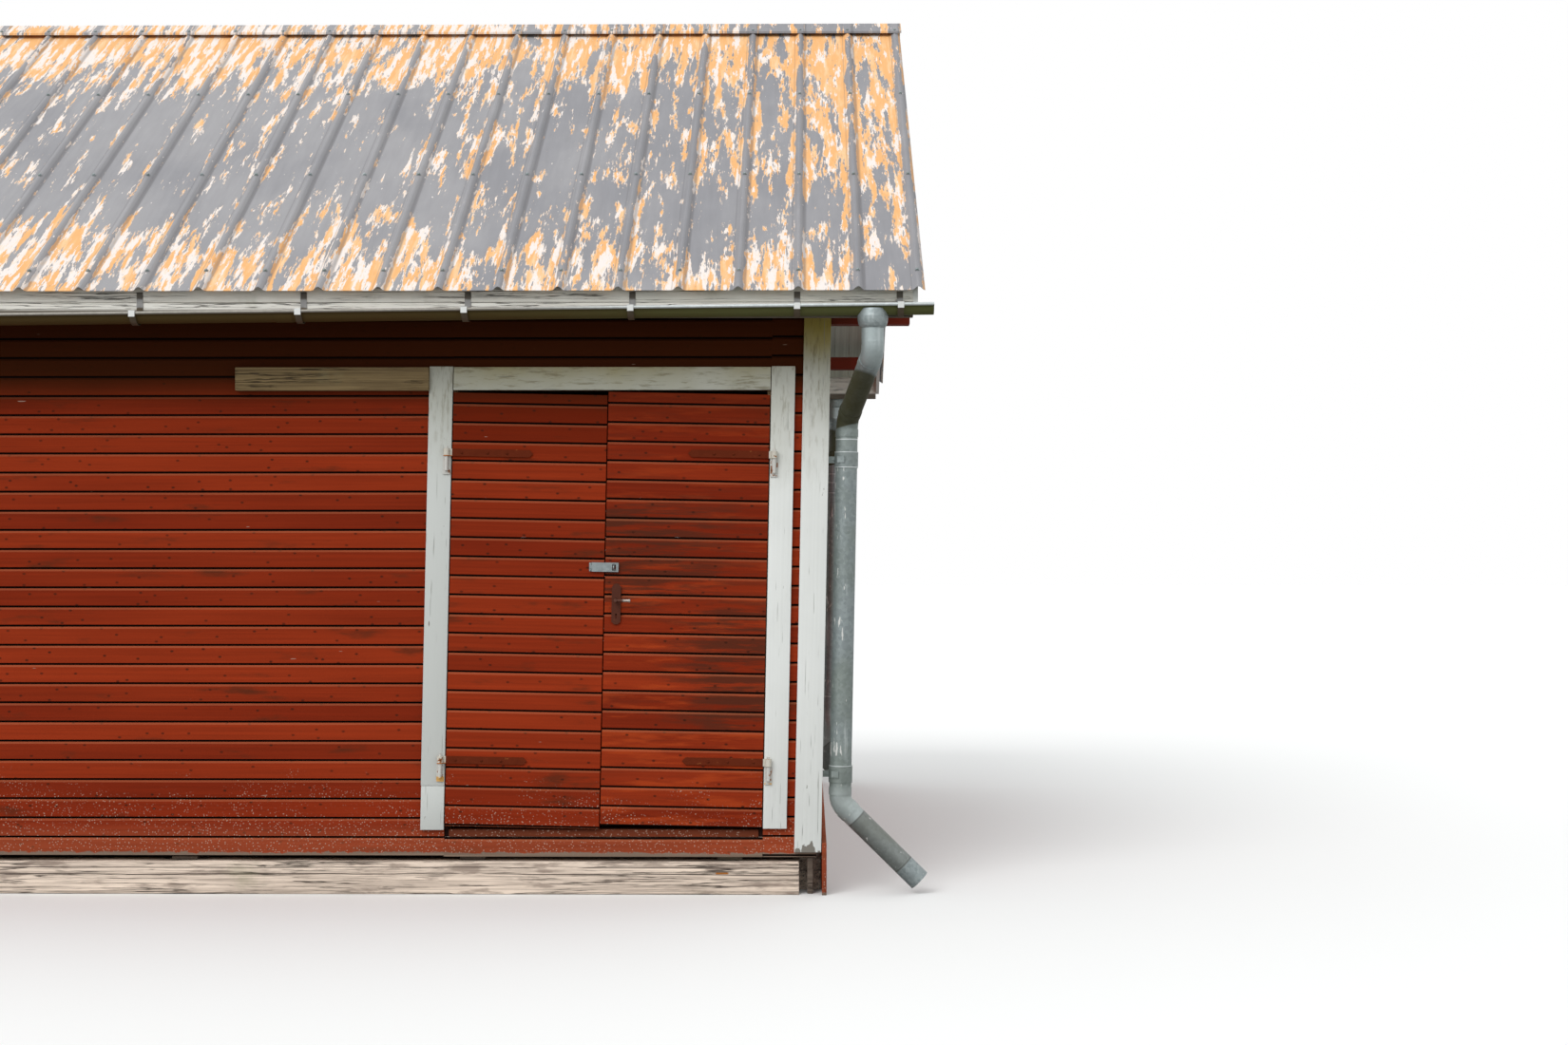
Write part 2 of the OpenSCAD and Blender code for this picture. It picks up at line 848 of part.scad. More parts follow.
// Band round the pipe with a stem into the corner board
module pipe_bracket(z, band_h, arm_h) {
    x = half_l + 106 + sway(z);
    arm_z = z + (band_h - arm_h) / 2;
    difference() {
        union() {
            translate([x, pipe_y, z])
                rotate([0, lean, 0])
                    cylinder(h = band_h, r = pipe_r + 4);
            block(half_l + trim_t + sway(z + band_h) + 0.5, x, pipe_y - 5, pipe_y + 5, arm_z, arm_z + arm_h);
        }
        translate([x, pipe_y, z])
            rotate([0, lean, 0])
                translate([0, 0, -2])
                    cylinder(h = band_h + 4, r = pipe_r + 1);
    }
}

module pipe_brackets() {
    color(ZINC)
        front_and_rear() {
            pipe_bracket(518, 80, 31);
            pipe_bracket(1984, 75, 31);
        }
}

// Frame of a leaf: its foot at the hinge side is the origin, and it leans with the wall
module in_left_leaf() {
    translate([left_edge_x + sway(left_foot_z), face_y, left_foot_z])
        rotate([0, lean, 0])
            children();
}

module in_right_leaf() {
    translate([right_edge_x + sway(right_foot_z), face_y, right_foot_z])
        rotate([0, lean, 0])
            children();
}

// Boards nailed to a frame of two stiles and three rails
module leaf(w) {
    front_t = 20;
    back_t = leaf_t - front_t - seat;
    rail = 95;
    cube([w, front_t, leaf_h]);
    for (x = [0, w - rail])
        translate([x, front_t + seat, 0])
            cube([rail, back_t, leaf_h]);
    for (z = [0, (leaf_h - rail) / 2, leaf_h - rail])
        translate([rail + seat, front_t + seat, z])
            cube([w - 2 * rail - 2 * seat, back_t, rail]);
}

module left_door_leaf() {
    color(RED)
        in_left_leaf()
            leaf(left_leaf_w);
}

module right_door_leaf() {
    color(RED)
        in_right_leaf()
            translate([-right_leaf_w, 0, 0])
                leaf(right_leaf_w);
}

// Pointed strap with an eye round the hinge pin, drawn for a hinge at the left
module strap_hinge() {
    eye_r = 14;
    lift = 3; // play between the strap and the white board
    difference() {
        union() {
            translate([0, 0, -strap_h / 2])
                linear_extrude(strap_h)
                    polygon([
                        [0, -seat],
                        [strap_l, -seat],
                        [strap_l, -strap_t],
                        [-12, -strap_t - lift],
                        [-pin_out, -strap_t - lift],
                        [-pin_out, -lift - 1],
                        [-8, -lift]
                    ]);
            translate([-pin_out, -pin_front, -strap_h / 2])
                cylinder(h = strap_h, r = eye_r);
        }
        translate([-pin_out, -pin_front, -strap_h / 2 - 1])
            cylinder(h = strap_h + 2, r = pin_r + 0.1);
        for (side = [-1, 1])
            translate([strap_l, 1, side * strap_h / 2])
                rotate([90, 0, 0])
                    linear_extrude(strap_t + 4)
                        polygon([[-strap_h / 2, side], [1, side], [1, -side * strap_h / 2]]);
    }
}

module left_strap_hinges() {
    color(BROWN_IRON)
        in_left_leaf()
            for (z = [strap_low, strap_high])
                translate([0, 0, z])
                    strap_hinge();
}

module right_strap_hinges() {
    color(BROWN_IRON)
        in_right_leaf()
            for (z = [strap_low, strap_high])
                translate([0, 0, z])
                    mirror([1, 0, 0])
                        strap_hinge();
}

// Pin on a plate screwed to the white board, drawn for a hinge at the left
module pintle() {
    plate_w_p = 34;
    plate_h_p = 84;
    top = -strap_h / 2 - 1;
    // plate, its screws hidden behind the stem
    translate([-pin_out - plate_w_p / 2, -strap_t, top - plate_h_p])
        cube([plate_w_p, strap_t - seat, plate_h_p]);
    // stem
    translate([-pin_out, -pin_front, top - 66])
        cylinder(h = 66, r = 9);
    translate([-pin_out - 6, -pin_front, top - 60])
        cube([12, pin_front - strap_t + 1, 40]);
    // pin through the eye of the strap
    translate([-pin_out, -pin_front, top - 1])
        cylinder(h = strap_h + 12, r = pin_r);
}

module hinge_pintles() {
    color(WHITE) {
        in_left_leaf()
            for (z = [strap_low, strap_high])
                translate([0, 0, z])
                    pintle();
        in_right_leaf()
            for (z = [strap_low, strap_high])
                translate([0, 0, z])
                    mirror([1, 0, 0])
                        pintle();
    }
}

// Frames of the lock and the hasp on the leaves
module at_lock() {
    in_right_leaf()
        translate([-right_leaf_w + lock_in, 0, lock_up])
            children();
}

module at_hasp() {
    in_left_leaf()
        translate([left_leaf_w - hasp_in, 0, hasp_up])
            children();
}

// Long plate with a keyhole below the lever
module lock_plate() {
    w = 42;
    top = 78;
    foot = -112;
    t = 7;
    key_z = -72;
    color(BROWN_IRON)
        at_lock()
            difference() {
                translate([0, -seat, 0])
                    rotate([90, 0, 0])
                        linear_extrude(t)
                            polygon([
                                [-w / 2, foot + 12],
                                [-8, foot],
                                [8, foot],
                                [w / 2, foot + 12],
                                [w / 2, top - 16],
                                [w / 2 - 9, top - 5],
                                [0, top],
                                [-w / 2 + 9, top - 5],
                                [-w / 2, top - 16]
                            ]);
                rotate([90, 0, 0])
                    translate([0, 0, -1])
                        cylinder(h = t + 2, r = 9.5);
                translate([0, 1, key_z + 5])
                    rotate([90, 0, 0])
                        cylinder(h = t + 2, r = 4.5);
                translate([-2, -t - 1, key_z - 12])
                    cube([4, t + 2, 16]);
            }
}

// Lever: a neck out of the plate, and a handle to the right with a knob at its end
module door_lever() {
    neck_l = 46;
    handle_l = 63;
    neck_r = 8.5;
    knob_l = 8;
    chamfer = 2;
    color(BROWN_IRON)
        at_lock() {
            rotate([90, 0, 0]) {
                translate([0, 0, 1])
                    cylinder(h = neck_l + neck_r, r = neck_r);
                translate([0, 0, 1 + neck_l + neck_r])
                    cylinder(h = chamfer, r1 = neck_r, r2 = neck_r - chamfer);
            }
            translate([0, -neck_l, 0])
                rotate([0, 90, 0]) {
                    cylinder(h = handle_l, r = 7);
                    translate([0, 0, handle_l - knob_l / 2])
                        cylinder(h = knob_l, r = 9);
                    translate([0, 0, handle_l + knob_l / 2])
                        cylinder(h = chamfer, r1 = 9, r2 = 9 - chamfer);
                }
        }
}

// Fixed half of the hasp: a plate on the left leaf with two knuckles and a pin
module hasp_hinge() {
    knuckle_h = 11;
    color(ZINC)
        at_hasp() {
            difference() {
                translate([-2, -2, -20])
                    cube([58, 2 - seat, 40]);
                translate([-3, -3, -neck_h / 2 - 0.5])
                    cube([11, 4, neck_h + 1]);
            }
            for (z = [-20, 20 - knuckle_h]) {
                translate([0, -pin_y, z])
                    cylinder(h = knuckle_h, r = 5);
                translate([-2, -pin_y, z])
                    cube([4, pin_y - 1, knuckle_h]);
            }
            translate([0, -pin_y, -20])
                cylinder(h = 40, r = 2.4);
        }
}

// Swinging half of the hasp, with a slot for the staple
module hasp() {
    slot_w = 17;
    slot_h = 32;
    neck_l = 7; // from the pin to the full height of the strap
    staple_x = hasp_in + leaf_gap + staple_in - 4;
    color(ZINC)
        at_hasp()
            difference() {
                union() {
                    translate([0, -pin_y, -neck_h / 2])
                        cylinder(h = neck_h, r = 5.5);
                    translate([0, -11.2, -neck_h / 2])
                        cube([neck_l + 1, 2.4, neck_h]);
                    translate([neck_l, -11.2, -hasp_h / 2])
                        cube([hasp_l - 6 - neck_l, 2.4, hasp_h]);
                }
                translate([0, -pin_y, -neck_h])
                    cylinder(h = 2 * neck_h, r = 2.5);
                translate([staple_x - slot_w / 2, -13, -slot_h / 2])
                    cube([slot_w, 6, slot_h]);
            }
}

// Loop on the right leaf that the hasp closes over
module hasp_staple() {
    loop_l = 24; // from the leaf to the middle of the bow
    loop_r = 10.5; // outer radius of the bow
    loop_t = 5;
    color(ZINC)
        at_hasp()
            translate([hasp_in + leaf_gap + staple_in - 4, 0, 0]) {
                along_x(-loop_t / 2, loop_t / 2)
                    difference() {
                        union() {
                            translate([-loop_l, 0])
                                circle(loop_r);
                            translate([-loop_l, -loop_r])
                                square([loop_l - seat, 2 * loop_r]);
                        }
                        translate([-loop_l, 0])
                            circle(loop_r - loop_t);
                        translate([-loop_l, -loop_r + loop_t])
                            square([loop_l + 1, 2 * (loop_r - loop_t)]);
                    }
                for (z = [-15, loop_r])
                    translate([-14, -2, z])
                        cube([28, 2 - seat, 15 - loop_r]);
            }
}

base_timbers();
packing_blocks();
plinth_boards();
sill_beams();
floor();
threshold();
front_wall_left();
front_wall_right();
front_wall_over_door();
front_wall_below_door();
rear_wall();
left_gable_wall();
right_gable_wall();
front_frame();
rear_frame();
gable_frames();
door_trim();
ledger_board();
corner_boards();
wall_plates();
ridge_beam();
purlins();
roof_boards();
front_roof_sheet();
rear_roof_sheet();
ridge_cap();
fascia_boards();
barge_boards();
front_gutter();
rear_gutter();
gutter_brackets();
gutter_funnels();
front_downpipe();
rear_downpipe();
pipe_brackets();
hinge_pintles();
left_door_leaf();
left_strap_hinges();
hasp_hinge();
right_door_leaf();
right_strap_hinges();
lock_plate();
hasp_staple();
door_lever();
hasp();
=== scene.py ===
# %% [markdown]
# # A red wooden boathouse
# This lesson dresses a finished solid model of a small boathouse: shiplap walls in red mud paint,
# a double door on strap hinges, white trim, and a ribbed sheet roof whose grey paint is flaking off.
# The solids, their places and their joints are fixed. Boards, screws and finishes are made here.

# %% Load the fixed model
import json
import math
import random

import bmesh
import bpy
from mathutils import Matrix, Vector


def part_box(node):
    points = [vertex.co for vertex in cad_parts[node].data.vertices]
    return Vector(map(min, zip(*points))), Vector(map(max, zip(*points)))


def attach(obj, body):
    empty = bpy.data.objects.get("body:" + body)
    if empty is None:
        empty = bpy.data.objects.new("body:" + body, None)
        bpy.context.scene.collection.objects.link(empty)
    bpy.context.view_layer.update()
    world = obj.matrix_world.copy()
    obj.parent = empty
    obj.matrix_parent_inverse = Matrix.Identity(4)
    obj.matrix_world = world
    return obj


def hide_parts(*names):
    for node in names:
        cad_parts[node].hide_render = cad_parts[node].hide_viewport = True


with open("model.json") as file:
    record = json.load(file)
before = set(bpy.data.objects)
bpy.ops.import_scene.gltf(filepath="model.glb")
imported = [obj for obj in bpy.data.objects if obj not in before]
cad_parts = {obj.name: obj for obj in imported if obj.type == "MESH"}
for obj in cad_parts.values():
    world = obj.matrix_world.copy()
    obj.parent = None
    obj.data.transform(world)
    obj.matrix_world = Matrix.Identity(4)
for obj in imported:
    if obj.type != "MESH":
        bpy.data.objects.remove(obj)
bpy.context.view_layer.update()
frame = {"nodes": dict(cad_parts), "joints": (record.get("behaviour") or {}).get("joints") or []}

# %% [markdown]
# ## The lean
# The house has sunk a little on one side, so every upright piece leans to the right by about one
# degree. The hinge pins of the doors lean with it, so the angle is read from a hinge. The lean keeps
# its nominal place at one height, and `sway` tells how far a point above or below has moved.

# %% Measure the lean and the roof
hinge = next(j for j in frame["joints"] if j["name"] == "left_door_hinge")
LEAN = math.atan(hinge["axis"][0] / hinge["axis"][2])
PLUMB_HEIGHT = 1.326
PITCH = math.radians(33.5)
EAVE_HEIGHT, HALF_RUN = 2.768, 2.770  # lower edge of the sheets, and its distance from the ridge
TRIM_FACE, FASCIA_FACE, GABLE_FACE, PIPE_DEPTH = 2.442, 2.720, 2.975, 2.380  # planes, from the middle
THIN_BOARD = 0.022
SKEW = math.tan(LEAN)  # sideways travel for each metre of height
UPRIGHT = Vector((math.sin(LEAN), 0, math.cos(LEAN)))
RIGHTWARD = Vector((math.cos(LEAN), 0, -math.sin(LEAN)))


def sway(z):
    return SKEW * (z - PLUMB_HEIGHT)


def nominal_ends(node):
    """The places of a leaning piece's two sides at the height where the lean is nothing."""
    low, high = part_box(node)
    return low.x - sway(low.z), high.x - sway(high.z)


print("lean", round(math.degrees(LEAN), 2), "degrees")
print("doorway wall from", [round(v, 3) for v in nominal_ends("front_wall_over_door")])

# %% [markdown]
# ## The camera
# The picture is taken from the ground in front of the right end, with a normal lens held almost
# level. A 50 mm lens on a 36 mm sensor gives the same convergence of the roof's ribs. The camera is
# set first.

# %% Camera
bpy.ops.object.select_all(action="DESELECT")
tilt, turn = math.radians(90.67), math.radians(0.62)
bpy.ops.object.camera_add(location=(2.913, -12.55, 1.61), rotation=(tilt, 0, turn))
camera = bpy.context.object
camera.name = "camera"
camera.data.lens = 50
camera.data.sensor_width = 36
camera.data.clip_end = 400
bpy.context.scene.camera = camera
print("camera at", tuple(round(c, 2) for c in camera.location))

# %% [markdown]
# ## Hands and tools
# Every piece below starts as a block of about its own size, is cut and shaped in edit mode, and gets
# its edges broken. These helpers are the moves a person would make: take one object, pick the faces
# that look one way, saw along a plane, break the edges, lay a copy beside the first.


# %% Taking, blocking out, picking and sawing
def take(*pieces):
    bpy.ops.object.select_all(action="DESELECT")
    for piece in pieces:
        piece.select_set(True)
    bpy.context.view_layer.objects.active = pieces[0]


def freeze(obj):
    """Writes a piece's place, turn and size into its mesh."""
    bpy.ops.object.transform_apply(location=True, rotation=True, scale=True)
    return obj


def block(name, low, high):
    """A squared piece between two corners, the start of a board or beam."""
    low, high = Vector(low), Vector(high)
    bpy.ops.object.select_all(action="DESELECT")
    bpy.ops.mesh.primitive_cube_add(size=1, location=(low + high) / 2)
    obj = bpy.context.object
    obj.name = name
    obj.scale = high - low
    return freeze(obj)


def pick(obj, test, kind="FACE"):
    """Opens the piece for editing with the faces, or the corners, that pass a test selected."""
    take(obj)
    bpy.ops.object.mode_set(mode="EDIT")
    bpy.ops.mesh.select_mode(type=kind)
    bpy.ops.mesh.select_all(action="DESELECT")
    mesh = bmesh.from_edit_mesh(obj.data)
    if kind == "FACE":
        for face in mesh.faces:
            face.select_set(test(face.calc_center_median(), face.normal))
    else:
        for corner in mesh.verts:
            corner.select_set(test(corner.co, corner.normal))
    mesh.select_flush_mode()
    bmesh.update_edit_mesh(obj.data)


def close():
    bpy.ops.object.mode_set(mode="OBJECT")


def saw(obj, point, normal, drop=True):
    """Cuts along a plane. What lies on the side of the normal falls off, unless drop is off."""
    take(obj)
    bpy.ops.object.mode_set(mode="EDIT")
    bpy.ops.mesh.select_all(action="SELECT")
    bpy.ops.mesh.bisect(plane_co=point, plane_no=normal, use_fill=drop, clear_outer=drop)
    close()


print("hands ready")

# %% [markdown]
# ## Copies and joints
# Sawn edges are never sharp, so each piece gets a narrow bevel. Copies have their own mesh, and pieces
# of one kind are joined in the end. `hand_over` paints a piece, smooths it, sets it on the body it
# moves with and lets it stand for its solids.

# %% Breaking edges, laying copies and joining
def soften(obj, width, segments=1):
    take(obj)
    bevel = obj.modifiers.new("broken edges", "BEVEL")
    bevel.width = width
    bevel.segments = segments
    bevel.limit_method = "ANGLE"
    bevel.angle_limit = math.radians(40)
    bpy.ops.object.modifier_apply(modifier=bevel.name)
    return obj


def settle(obj, turn=(0, 0, 0), move=(0, 0, 0)):
    """Turns a piece about the origin, moves it, and writes its place into its mesh."""
    take(obj)
    obj.rotation_euler = turn
    obj.location = move
    return freeze(obj)


def lean_over(obj, x):
    """Leans a plumb piece with the house, about its own place."""
    centre = Vector((x, 0, PLUMB_HEIGHT))
    return settle(obj, (0, LEAN, 0), centre - Matrix.Rotation(LEAN, 3, "Y") @ centre)


def copy_of(obj, move=(0, 0, 0)):
    twin = obj.copy()
    twin.data = obj.data.copy()
    bpy.context.collection.objects.link(twin)
    twin.location = move
    return twin


def mark_faces(obj, name, values):
    layer = obj.data.attributes.get(name) or obj.data.attributes.new(name, "FLOAT", "FACE")
    layer.data.foreach_set("value", values)


def number_board(obj, value):
    """Gives all faces of one board the same number, from which its tone and grain are shifted."""
    mark_faces(obj, "board", [value] * len(obj.data.polygons))


def lay(name, pattern, places, chance):
    """Copies a piece to places, gives each copy its own number and joins them."""
    pieces = []
    for place in places:
        pieces.append(copy_of(pattern, place))
        number_board(pieces[-1], chance.random())
    bpy.data.objects.remove(pattern)
    return joined(name, pieces)


def joined(name, pieces):
    take(*pieces)
    freeze(pieces[0])
    if len(pieces) > 1:
        bpy.ops.object.join()
    pieces[0].name = name
    return pieces[0]


def softened_set(name, pieces, width, segments=1, step=0.1, first=0.0):
    """Breaks the edges of several pieces, numbers them and joins them."""
    for number, piece in enumerate(pieces):
        soften(piece, width, segments)
        number_board(piece, first + step * number)
    return joined(name, pieces)


def hand_over(obj, slot, outer, *nodes, body="building", inner=None, inward=None):
    """Paints a finished piece, sets it on its body and lets it stand for its solids."""
    obj.data.materials.append(outer)
    if inner is not None:
        obj.data.materials.append(inner)
        for face in obj.data.polygons:
            face.material_index = 1 if face.normal.dot(Vector(inward)) > 0.8 else 0
    take(obj)
    bpy.ops.object.shade_smooth_by_angle(angle=math.radians(32))
    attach(obj, body)
    if nodes:
        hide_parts(*nodes)
    print(obj.name, "has", len(obj.data.polygons), "faces and rides on", body)


# %% [markdown]
# ## Shader sums
# A finish is a sum of simple patterns: streaks along the grain, a tone for each board, dirt near the
# ground. Written as Python expressions they stay readable. `Wire` wraps one socket and turns `+`,
# `-`, `*` and `>` into Math nodes. `Finish` holds one material and adds every other node.


# %% A socket that can be used in sums
def math_step(operation, flipped=False):
    def method(self, *others):
        terms = (*others, self) if flipped else (self, *others)
        return self.graph.node("ShaderNodeMath", {"operation": operation}, dict(enumerate(terms)))

    return method


class Wire:
    def __init__(self, graph, socket):
        self.graph, self.socket = graph, socket

    __add__ = math_step("ADD")
    __radd__ = math_step("ADD", flipped=True)
    __sub__ = math_step("SUBTRACT")
    __rsub__ = math_step("SUBTRACT", flipped=True)
    __mul__ = math_step("MULTIPLY")
    __rmul__ = math_step("MULTIPLY", flipped=True)
    __truediv__ = math_step("DIVIDE")
    __gt__ = math_step("GREATER_THAN")
    __abs__ = math_step("ABSOLUTE")
    floor = math_step("FLOOR")
    most = math_step("MAXIMUM")
    least = math_step("MINIMUM")

    def rise(self, low, high):
        """0 below low, 1 above high, smooth between; falls instead if low is the larger."""
        settings = {"interpolation_type": "SMOOTHSTEP"}
        return self.graph.node("ShaderNodeMapRange", settings, {0: self, 1: low, 2: high, 3: 0.0, 4: 1.0})


print("a socket can be added, taken off, multiplied and compared")

# %% [markdown]
# ## One finish
# `Graph` adds nodes to any tree. `Finish` is the graph of one material. It keeps the colour made so
# far: `coat` lays another colour over it where a mask says so, and `done` joins it to the shader.


# %% A material and its nodes
class Graph:
    def __init__(self, tree):
        self.nodes, self.links = tree.nodes, tree.links

    def node(self, kind, settings=None, values=None, out=0):
        made = self.nodes.new(kind)
        for key, value in (settings or {}).items():
            setattr(made, key, value)
        for key, value in (values or {}).items():
            if isinstance(value, Wire):
                self.links.new(value.socket, made.inputs[key])
            else:
                made.inputs[key].default_value = value
        return Wire(self, made.outputs[out])

    def split(self, wire):
        parts = self.node("ShaderNodeSeparateXYZ", None, {0: wire}).socket.node
        return [Wire(self, socket) for socket in parts.outputs]


class Finish(Graph):
    def __init__(self, name, roughness=0.8, metallic=0.0, gloss=0.3):
        self.material = bpy.data.materials.new(name)
        self.material.use_nodes = True
        super().__init__(self.material.node_tree)
        self.shader = self.nodes["Principled BSDF"]
        constants = {"Roughness": roughness, "Metallic": metallic, "Specular IOR Level": gloss}
        for socket, value in constants.items():
            self.shader.inputs[socket].default_value = value
        self.place = self.node("ShaderNodeTexCoord", out="Object")
        self.x, self.y, self.z = self.split(self.place)
        self.colour = None

    def at(self, a, b, c=0.0):
        return self.node("ShaderNodeCombineXYZ", None, {0: a, 1: b, 2: c})

    def noise(self, where, detail=4.0, roughness=0.55, distortion=0.0, scale=1.0):
        """Noise at a place, or at two or three numbers that make one."""
        where = self.at(*where) if isinstance(where, tuple) else where
        values = {"Vector": where, "Scale": scale, "Detail": detail}
        values.update({"Roughness": roughness, "Distortion": distortion})
        return self.node("ShaderNodeTexNoise", None, values)

    def cells(self, *where, scale=1.0, flat=False):
        """Distance to the nearest of scattered points."""
        settings = {"voronoi_dimensions": "2D" if flat else "3D"}
        return self.node("ShaderNodeTexVoronoi", settings, {"Vector": self.at(*where), "Scale": scale})

    def mark(self, name):
        """A number that the faces of a piece carry."""
        return self.node("ShaderNodeAttribute", {"attribute_name": name}, out="Fac")

    def facing(self):
        """The direction a face looks, in the piece's own directions."""
        return self.split(self.node("ShaderNodeTexCoord", out="Normal"))

    def mix(self, one, other, share, blend="MIX"):
        values = {0: share}
        for key, colour in ((6, one), (7, other)):
            values[key] = colour if isinstance(colour, Wire) else (*colour, 1.0)
        return self.node("ShaderNodeMix", {"data_type": "RGBA", "blend_type": blend}, values, out=2)

    def dim(self, colour, level):
        """A colour made lighter or darker by a number that varies over the surface."""
        return self.mix(colour, self.at(level, level, level), 1.0, "MULTIPLY")

    def coat(self, colour, share):
        self.colour = self.mix(self.colour, colour, share)

    def done(self, roughness=None, height=None, depth=0.001, metallic=None):
        varying = {"Base Color": self.colour, "Roughness": roughness, "Metallic": metallic}
        for socket, value in varying.items():
            if value is not None:
                self.links.new(value.socket, self.shader.inputs[socket])
        if height is not None:
            bump = self.node("ShaderNodeBump", None, {"Height": height, "Distance": depth, "Strength": 1.0})
            self.links.new(bump.socket, self.shader.inputs["Normal"])
        print(self.material.name, "uses", len(self.nodes), "nodes")
        return self.material


def paint_solids(finish, *nodes):
    """Gives solids that keep their shape a finish."""
    for node in nodes:
        for place in frame["nodes"][node].material_slots:
            place.material = finish


# %% [markdown]
# ## Grain
# All boards share one idea: noise that is stretched along the board. The run of the board differs
# from piece to piece, so each finish is told which way its boards run. Leaning boards read their
# height with the lean taken out, and every board shifts the pattern by its own number.


# %% Which way the boards run
def grain_lines(finish, along):
    """Run along the grain, place across it and place through it."""
    x, y, z = finish.x, finish.y, finish.z
    shift = finish.mark("board") * 37
    if along == "x":
        return x + shift, z, y
    if along == "leaf":
        return x + shift, z + x * SKEW, y
    if along == "y":
        return y + shift, z, x
    if along == "up":
        return z + shift, x - z * SKEW, y
    slope = abs(y) * math.cos(PITCH) - z * math.sin(PITCH)
    return slope + shift, x, abs(y) * math.sin(PITCH) + z * math.cos(PITCH)


def grain(finish, along, stretch=1.4, fine=75.0, detail=5.0):
    """The three grain lines and fine streaks along them."""
    run, across, through = grain_lines(finish, along)
    return run, across, through, finish.noise((run * stretch, across * fine, through * fine), detail, 0.6)


print("boards can run along x, y, the slope, upright, or with a leaf")


# %% [markdown]
# ## Red mud paint
# The paint is a matt earth pigment that is brushed on sawn boards. It has hardly any gloss, so the
# shader's specular level is nearly nothing: even a faint grey sheen would turn the red pink. Each
# board has its own tone and darkens to brown where water has stood. The bevel on top of each board
# is lighter, partly dust and partly painted highlight, and the groove above it gets near black
# painted shade. Under the eave the paint is darkened to nearly black as painted shade. The lowest
# edge is worn to grey wood with pale specks of splashed earth.


# %% Red mud paint
RED_BRIGHT = (0.305, 0.034, 0.0085)
RED_DEEP = (0.190, 0.0185, 0.0050)
RED_DAMP = (0.085, 0.022, 0.009)
RED_DUST_AND_HIGHLIGHT = (0.36, 0.11, 0.050)
RED_SHADE = (0.047, 0.0125, 0.0030)
GROOVE_SHADE = (0.008, 0.003, 0.002)
KNOT = (0.042, 0.012, 0.006)
SPLASH = (0.50, 0.35, 0.27)
BARE_EDGE = (0.21, 0.165, 0.125)


def red_wear_and_shade(paint, lines, fine, broad, shade, bare=0.169):
    """Knots, dust with painted highlight, painted shade under the eave and in grooves, specks, bare lower
    edge.
    """
    run, across, through = lines
    knot = paint.cells(run * 7.2, across * 11, flat=True).rise(0.078, 0.030) * (0.3 + broad * 0.8)
    paint.coat(KNOT, knot)
    # Dust and painted highlight: faces that look up, such as the bevels, are made lighter red.
    paint.coat(RED_DUST_AND_HIGHLIGHT, paint.facing()[2].rise(0.25, 0.6) * (0.25 + fine * 0.4))
    # Painted shade: the red is darkened to nearly black under the eave and the verge.
    paint.coat(RED_SHADE, shade)
    paint.coat((0.42, 0.12, 0.055), paint.z.rise(0.36, 0.24) * (0.15 + fine * 0.35))
    speck = paint.cells(run, across, through, scale=85.0).rise(0.30, 0.14)
    cluster = paint.noise((run * 5, across * 12, through), 4.0, 0.6) * 0.9
    paint.coat(SPLASH, speck * (paint.z - cluster + fine * 0.2).rise(0.17, -0.03) * 0.80)
    ragged = paint.noise((paint.x * 26, across * 40), 4.0, 0.6)
    edge = (paint.z - ragged * 0.040 - broad * 0.016).rise(bare, bare - 0.006)
    paint.coat(paint.dim(BARE_EDGE, 0.55 + fine * 0.9), edge * 0.9)
    # Painted shade: the groove above each board is made nearly black.
    paint.coat(GROOVE_SHADE, paint.mark("groove"))
    return knot


def red_paint(name, along, damp=0.0, dirt_and_shade=0.0, bare=0.169):
    paint = Finish(name, roughness=0.85, gloss=0.06)
    run, across, through, fine = grain(paint, along)
    board = paint.mark("board")
    broad = paint.noise((run * 0.8, across * 2.6, board * 9), 3.0, 0.5)
    tone = (board * 0.6 + broad * 0.9 - 0.25).rise(0.0, 1.0)
    paint.colour = paint.dim(paint.mix(RED_BRIGHT, RED_DEEP, tone), 0.62 + fine * 0.76)
    wet = paint.noise((run * 2.4, across * 11, board * 5), 4.0, 0.6)
    paint.coat(RED_DAMP, (wet + damp).rise(0.58, 0.76) * 0.8)
    # Painted shade: end walls darken under the verge, long walls and leaves under the eave.
    if along == "y":
        shade = (paint.z + abs(paint.y) * math.tan(PITCH) + broad * 0.1).rise(4.20, 4.50) * 0.85
    else:
        shade = (paint.z + broad * 0.1).rise(2.26, 2.48) * 0.94
    # Painted shade: the top rows of the leaves are darkened under the door head and eave.
    if along == "leaf":
        paint.coat((0.125, 0.0115, 0.0018), (paint.z + broad * 0.1).rise(1.85, 2.40) * 0.75)
    # Dirt and painted shade: a dark brown coat, strongest on the threshold board under the leaves.
    if dirt_and_shade:
        paint.coat((0.062, 0.012, 0.006), (broad + fine * 0.5).rise(0.35, 0.75) * dirt_and_shade)
    knot = red_wear_and_shade(paint, (run, across, through), fine, broad, shade, bare)
    scratch = paint.noise((run * 9, across * 60, board * 30), 2.0, 0.4)
    paint.coat((0.45, 0.33, 0.26), scratch.rise(0.79, 0.81) * 0.7)
    return paint.done(0.74 + fine * 0.22, fine * 0.7 + broad * 0.2 - knot * 0.3, 0.0011)


RED_WALL = red_paint("red_wall_paint", "x")
RED_LEFT_LEAF = red_paint("red_leaf_paint", "leaf", 0.015)
RED_GABLE = red_paint("red_gable_paint", "y")
RED_PLINTH = red_paint("red_plinth_paint", "y", 0.05, 0.4, -0.01)
RED_SILL = red_paint("red_threshold_paint", "x", 0.1, 1.0)

# %% [markdown]
# ## Damp on the right leaf
# The right leaf stands in the drip of the eave. Round the lock its boards are stained brown, most of
# all towards the left leaf, and further down the stain has moved to the right. The boards near the
# foot are the brightest of the whole front. The stain is broken up along the grain, so it never
# covers a whole board.


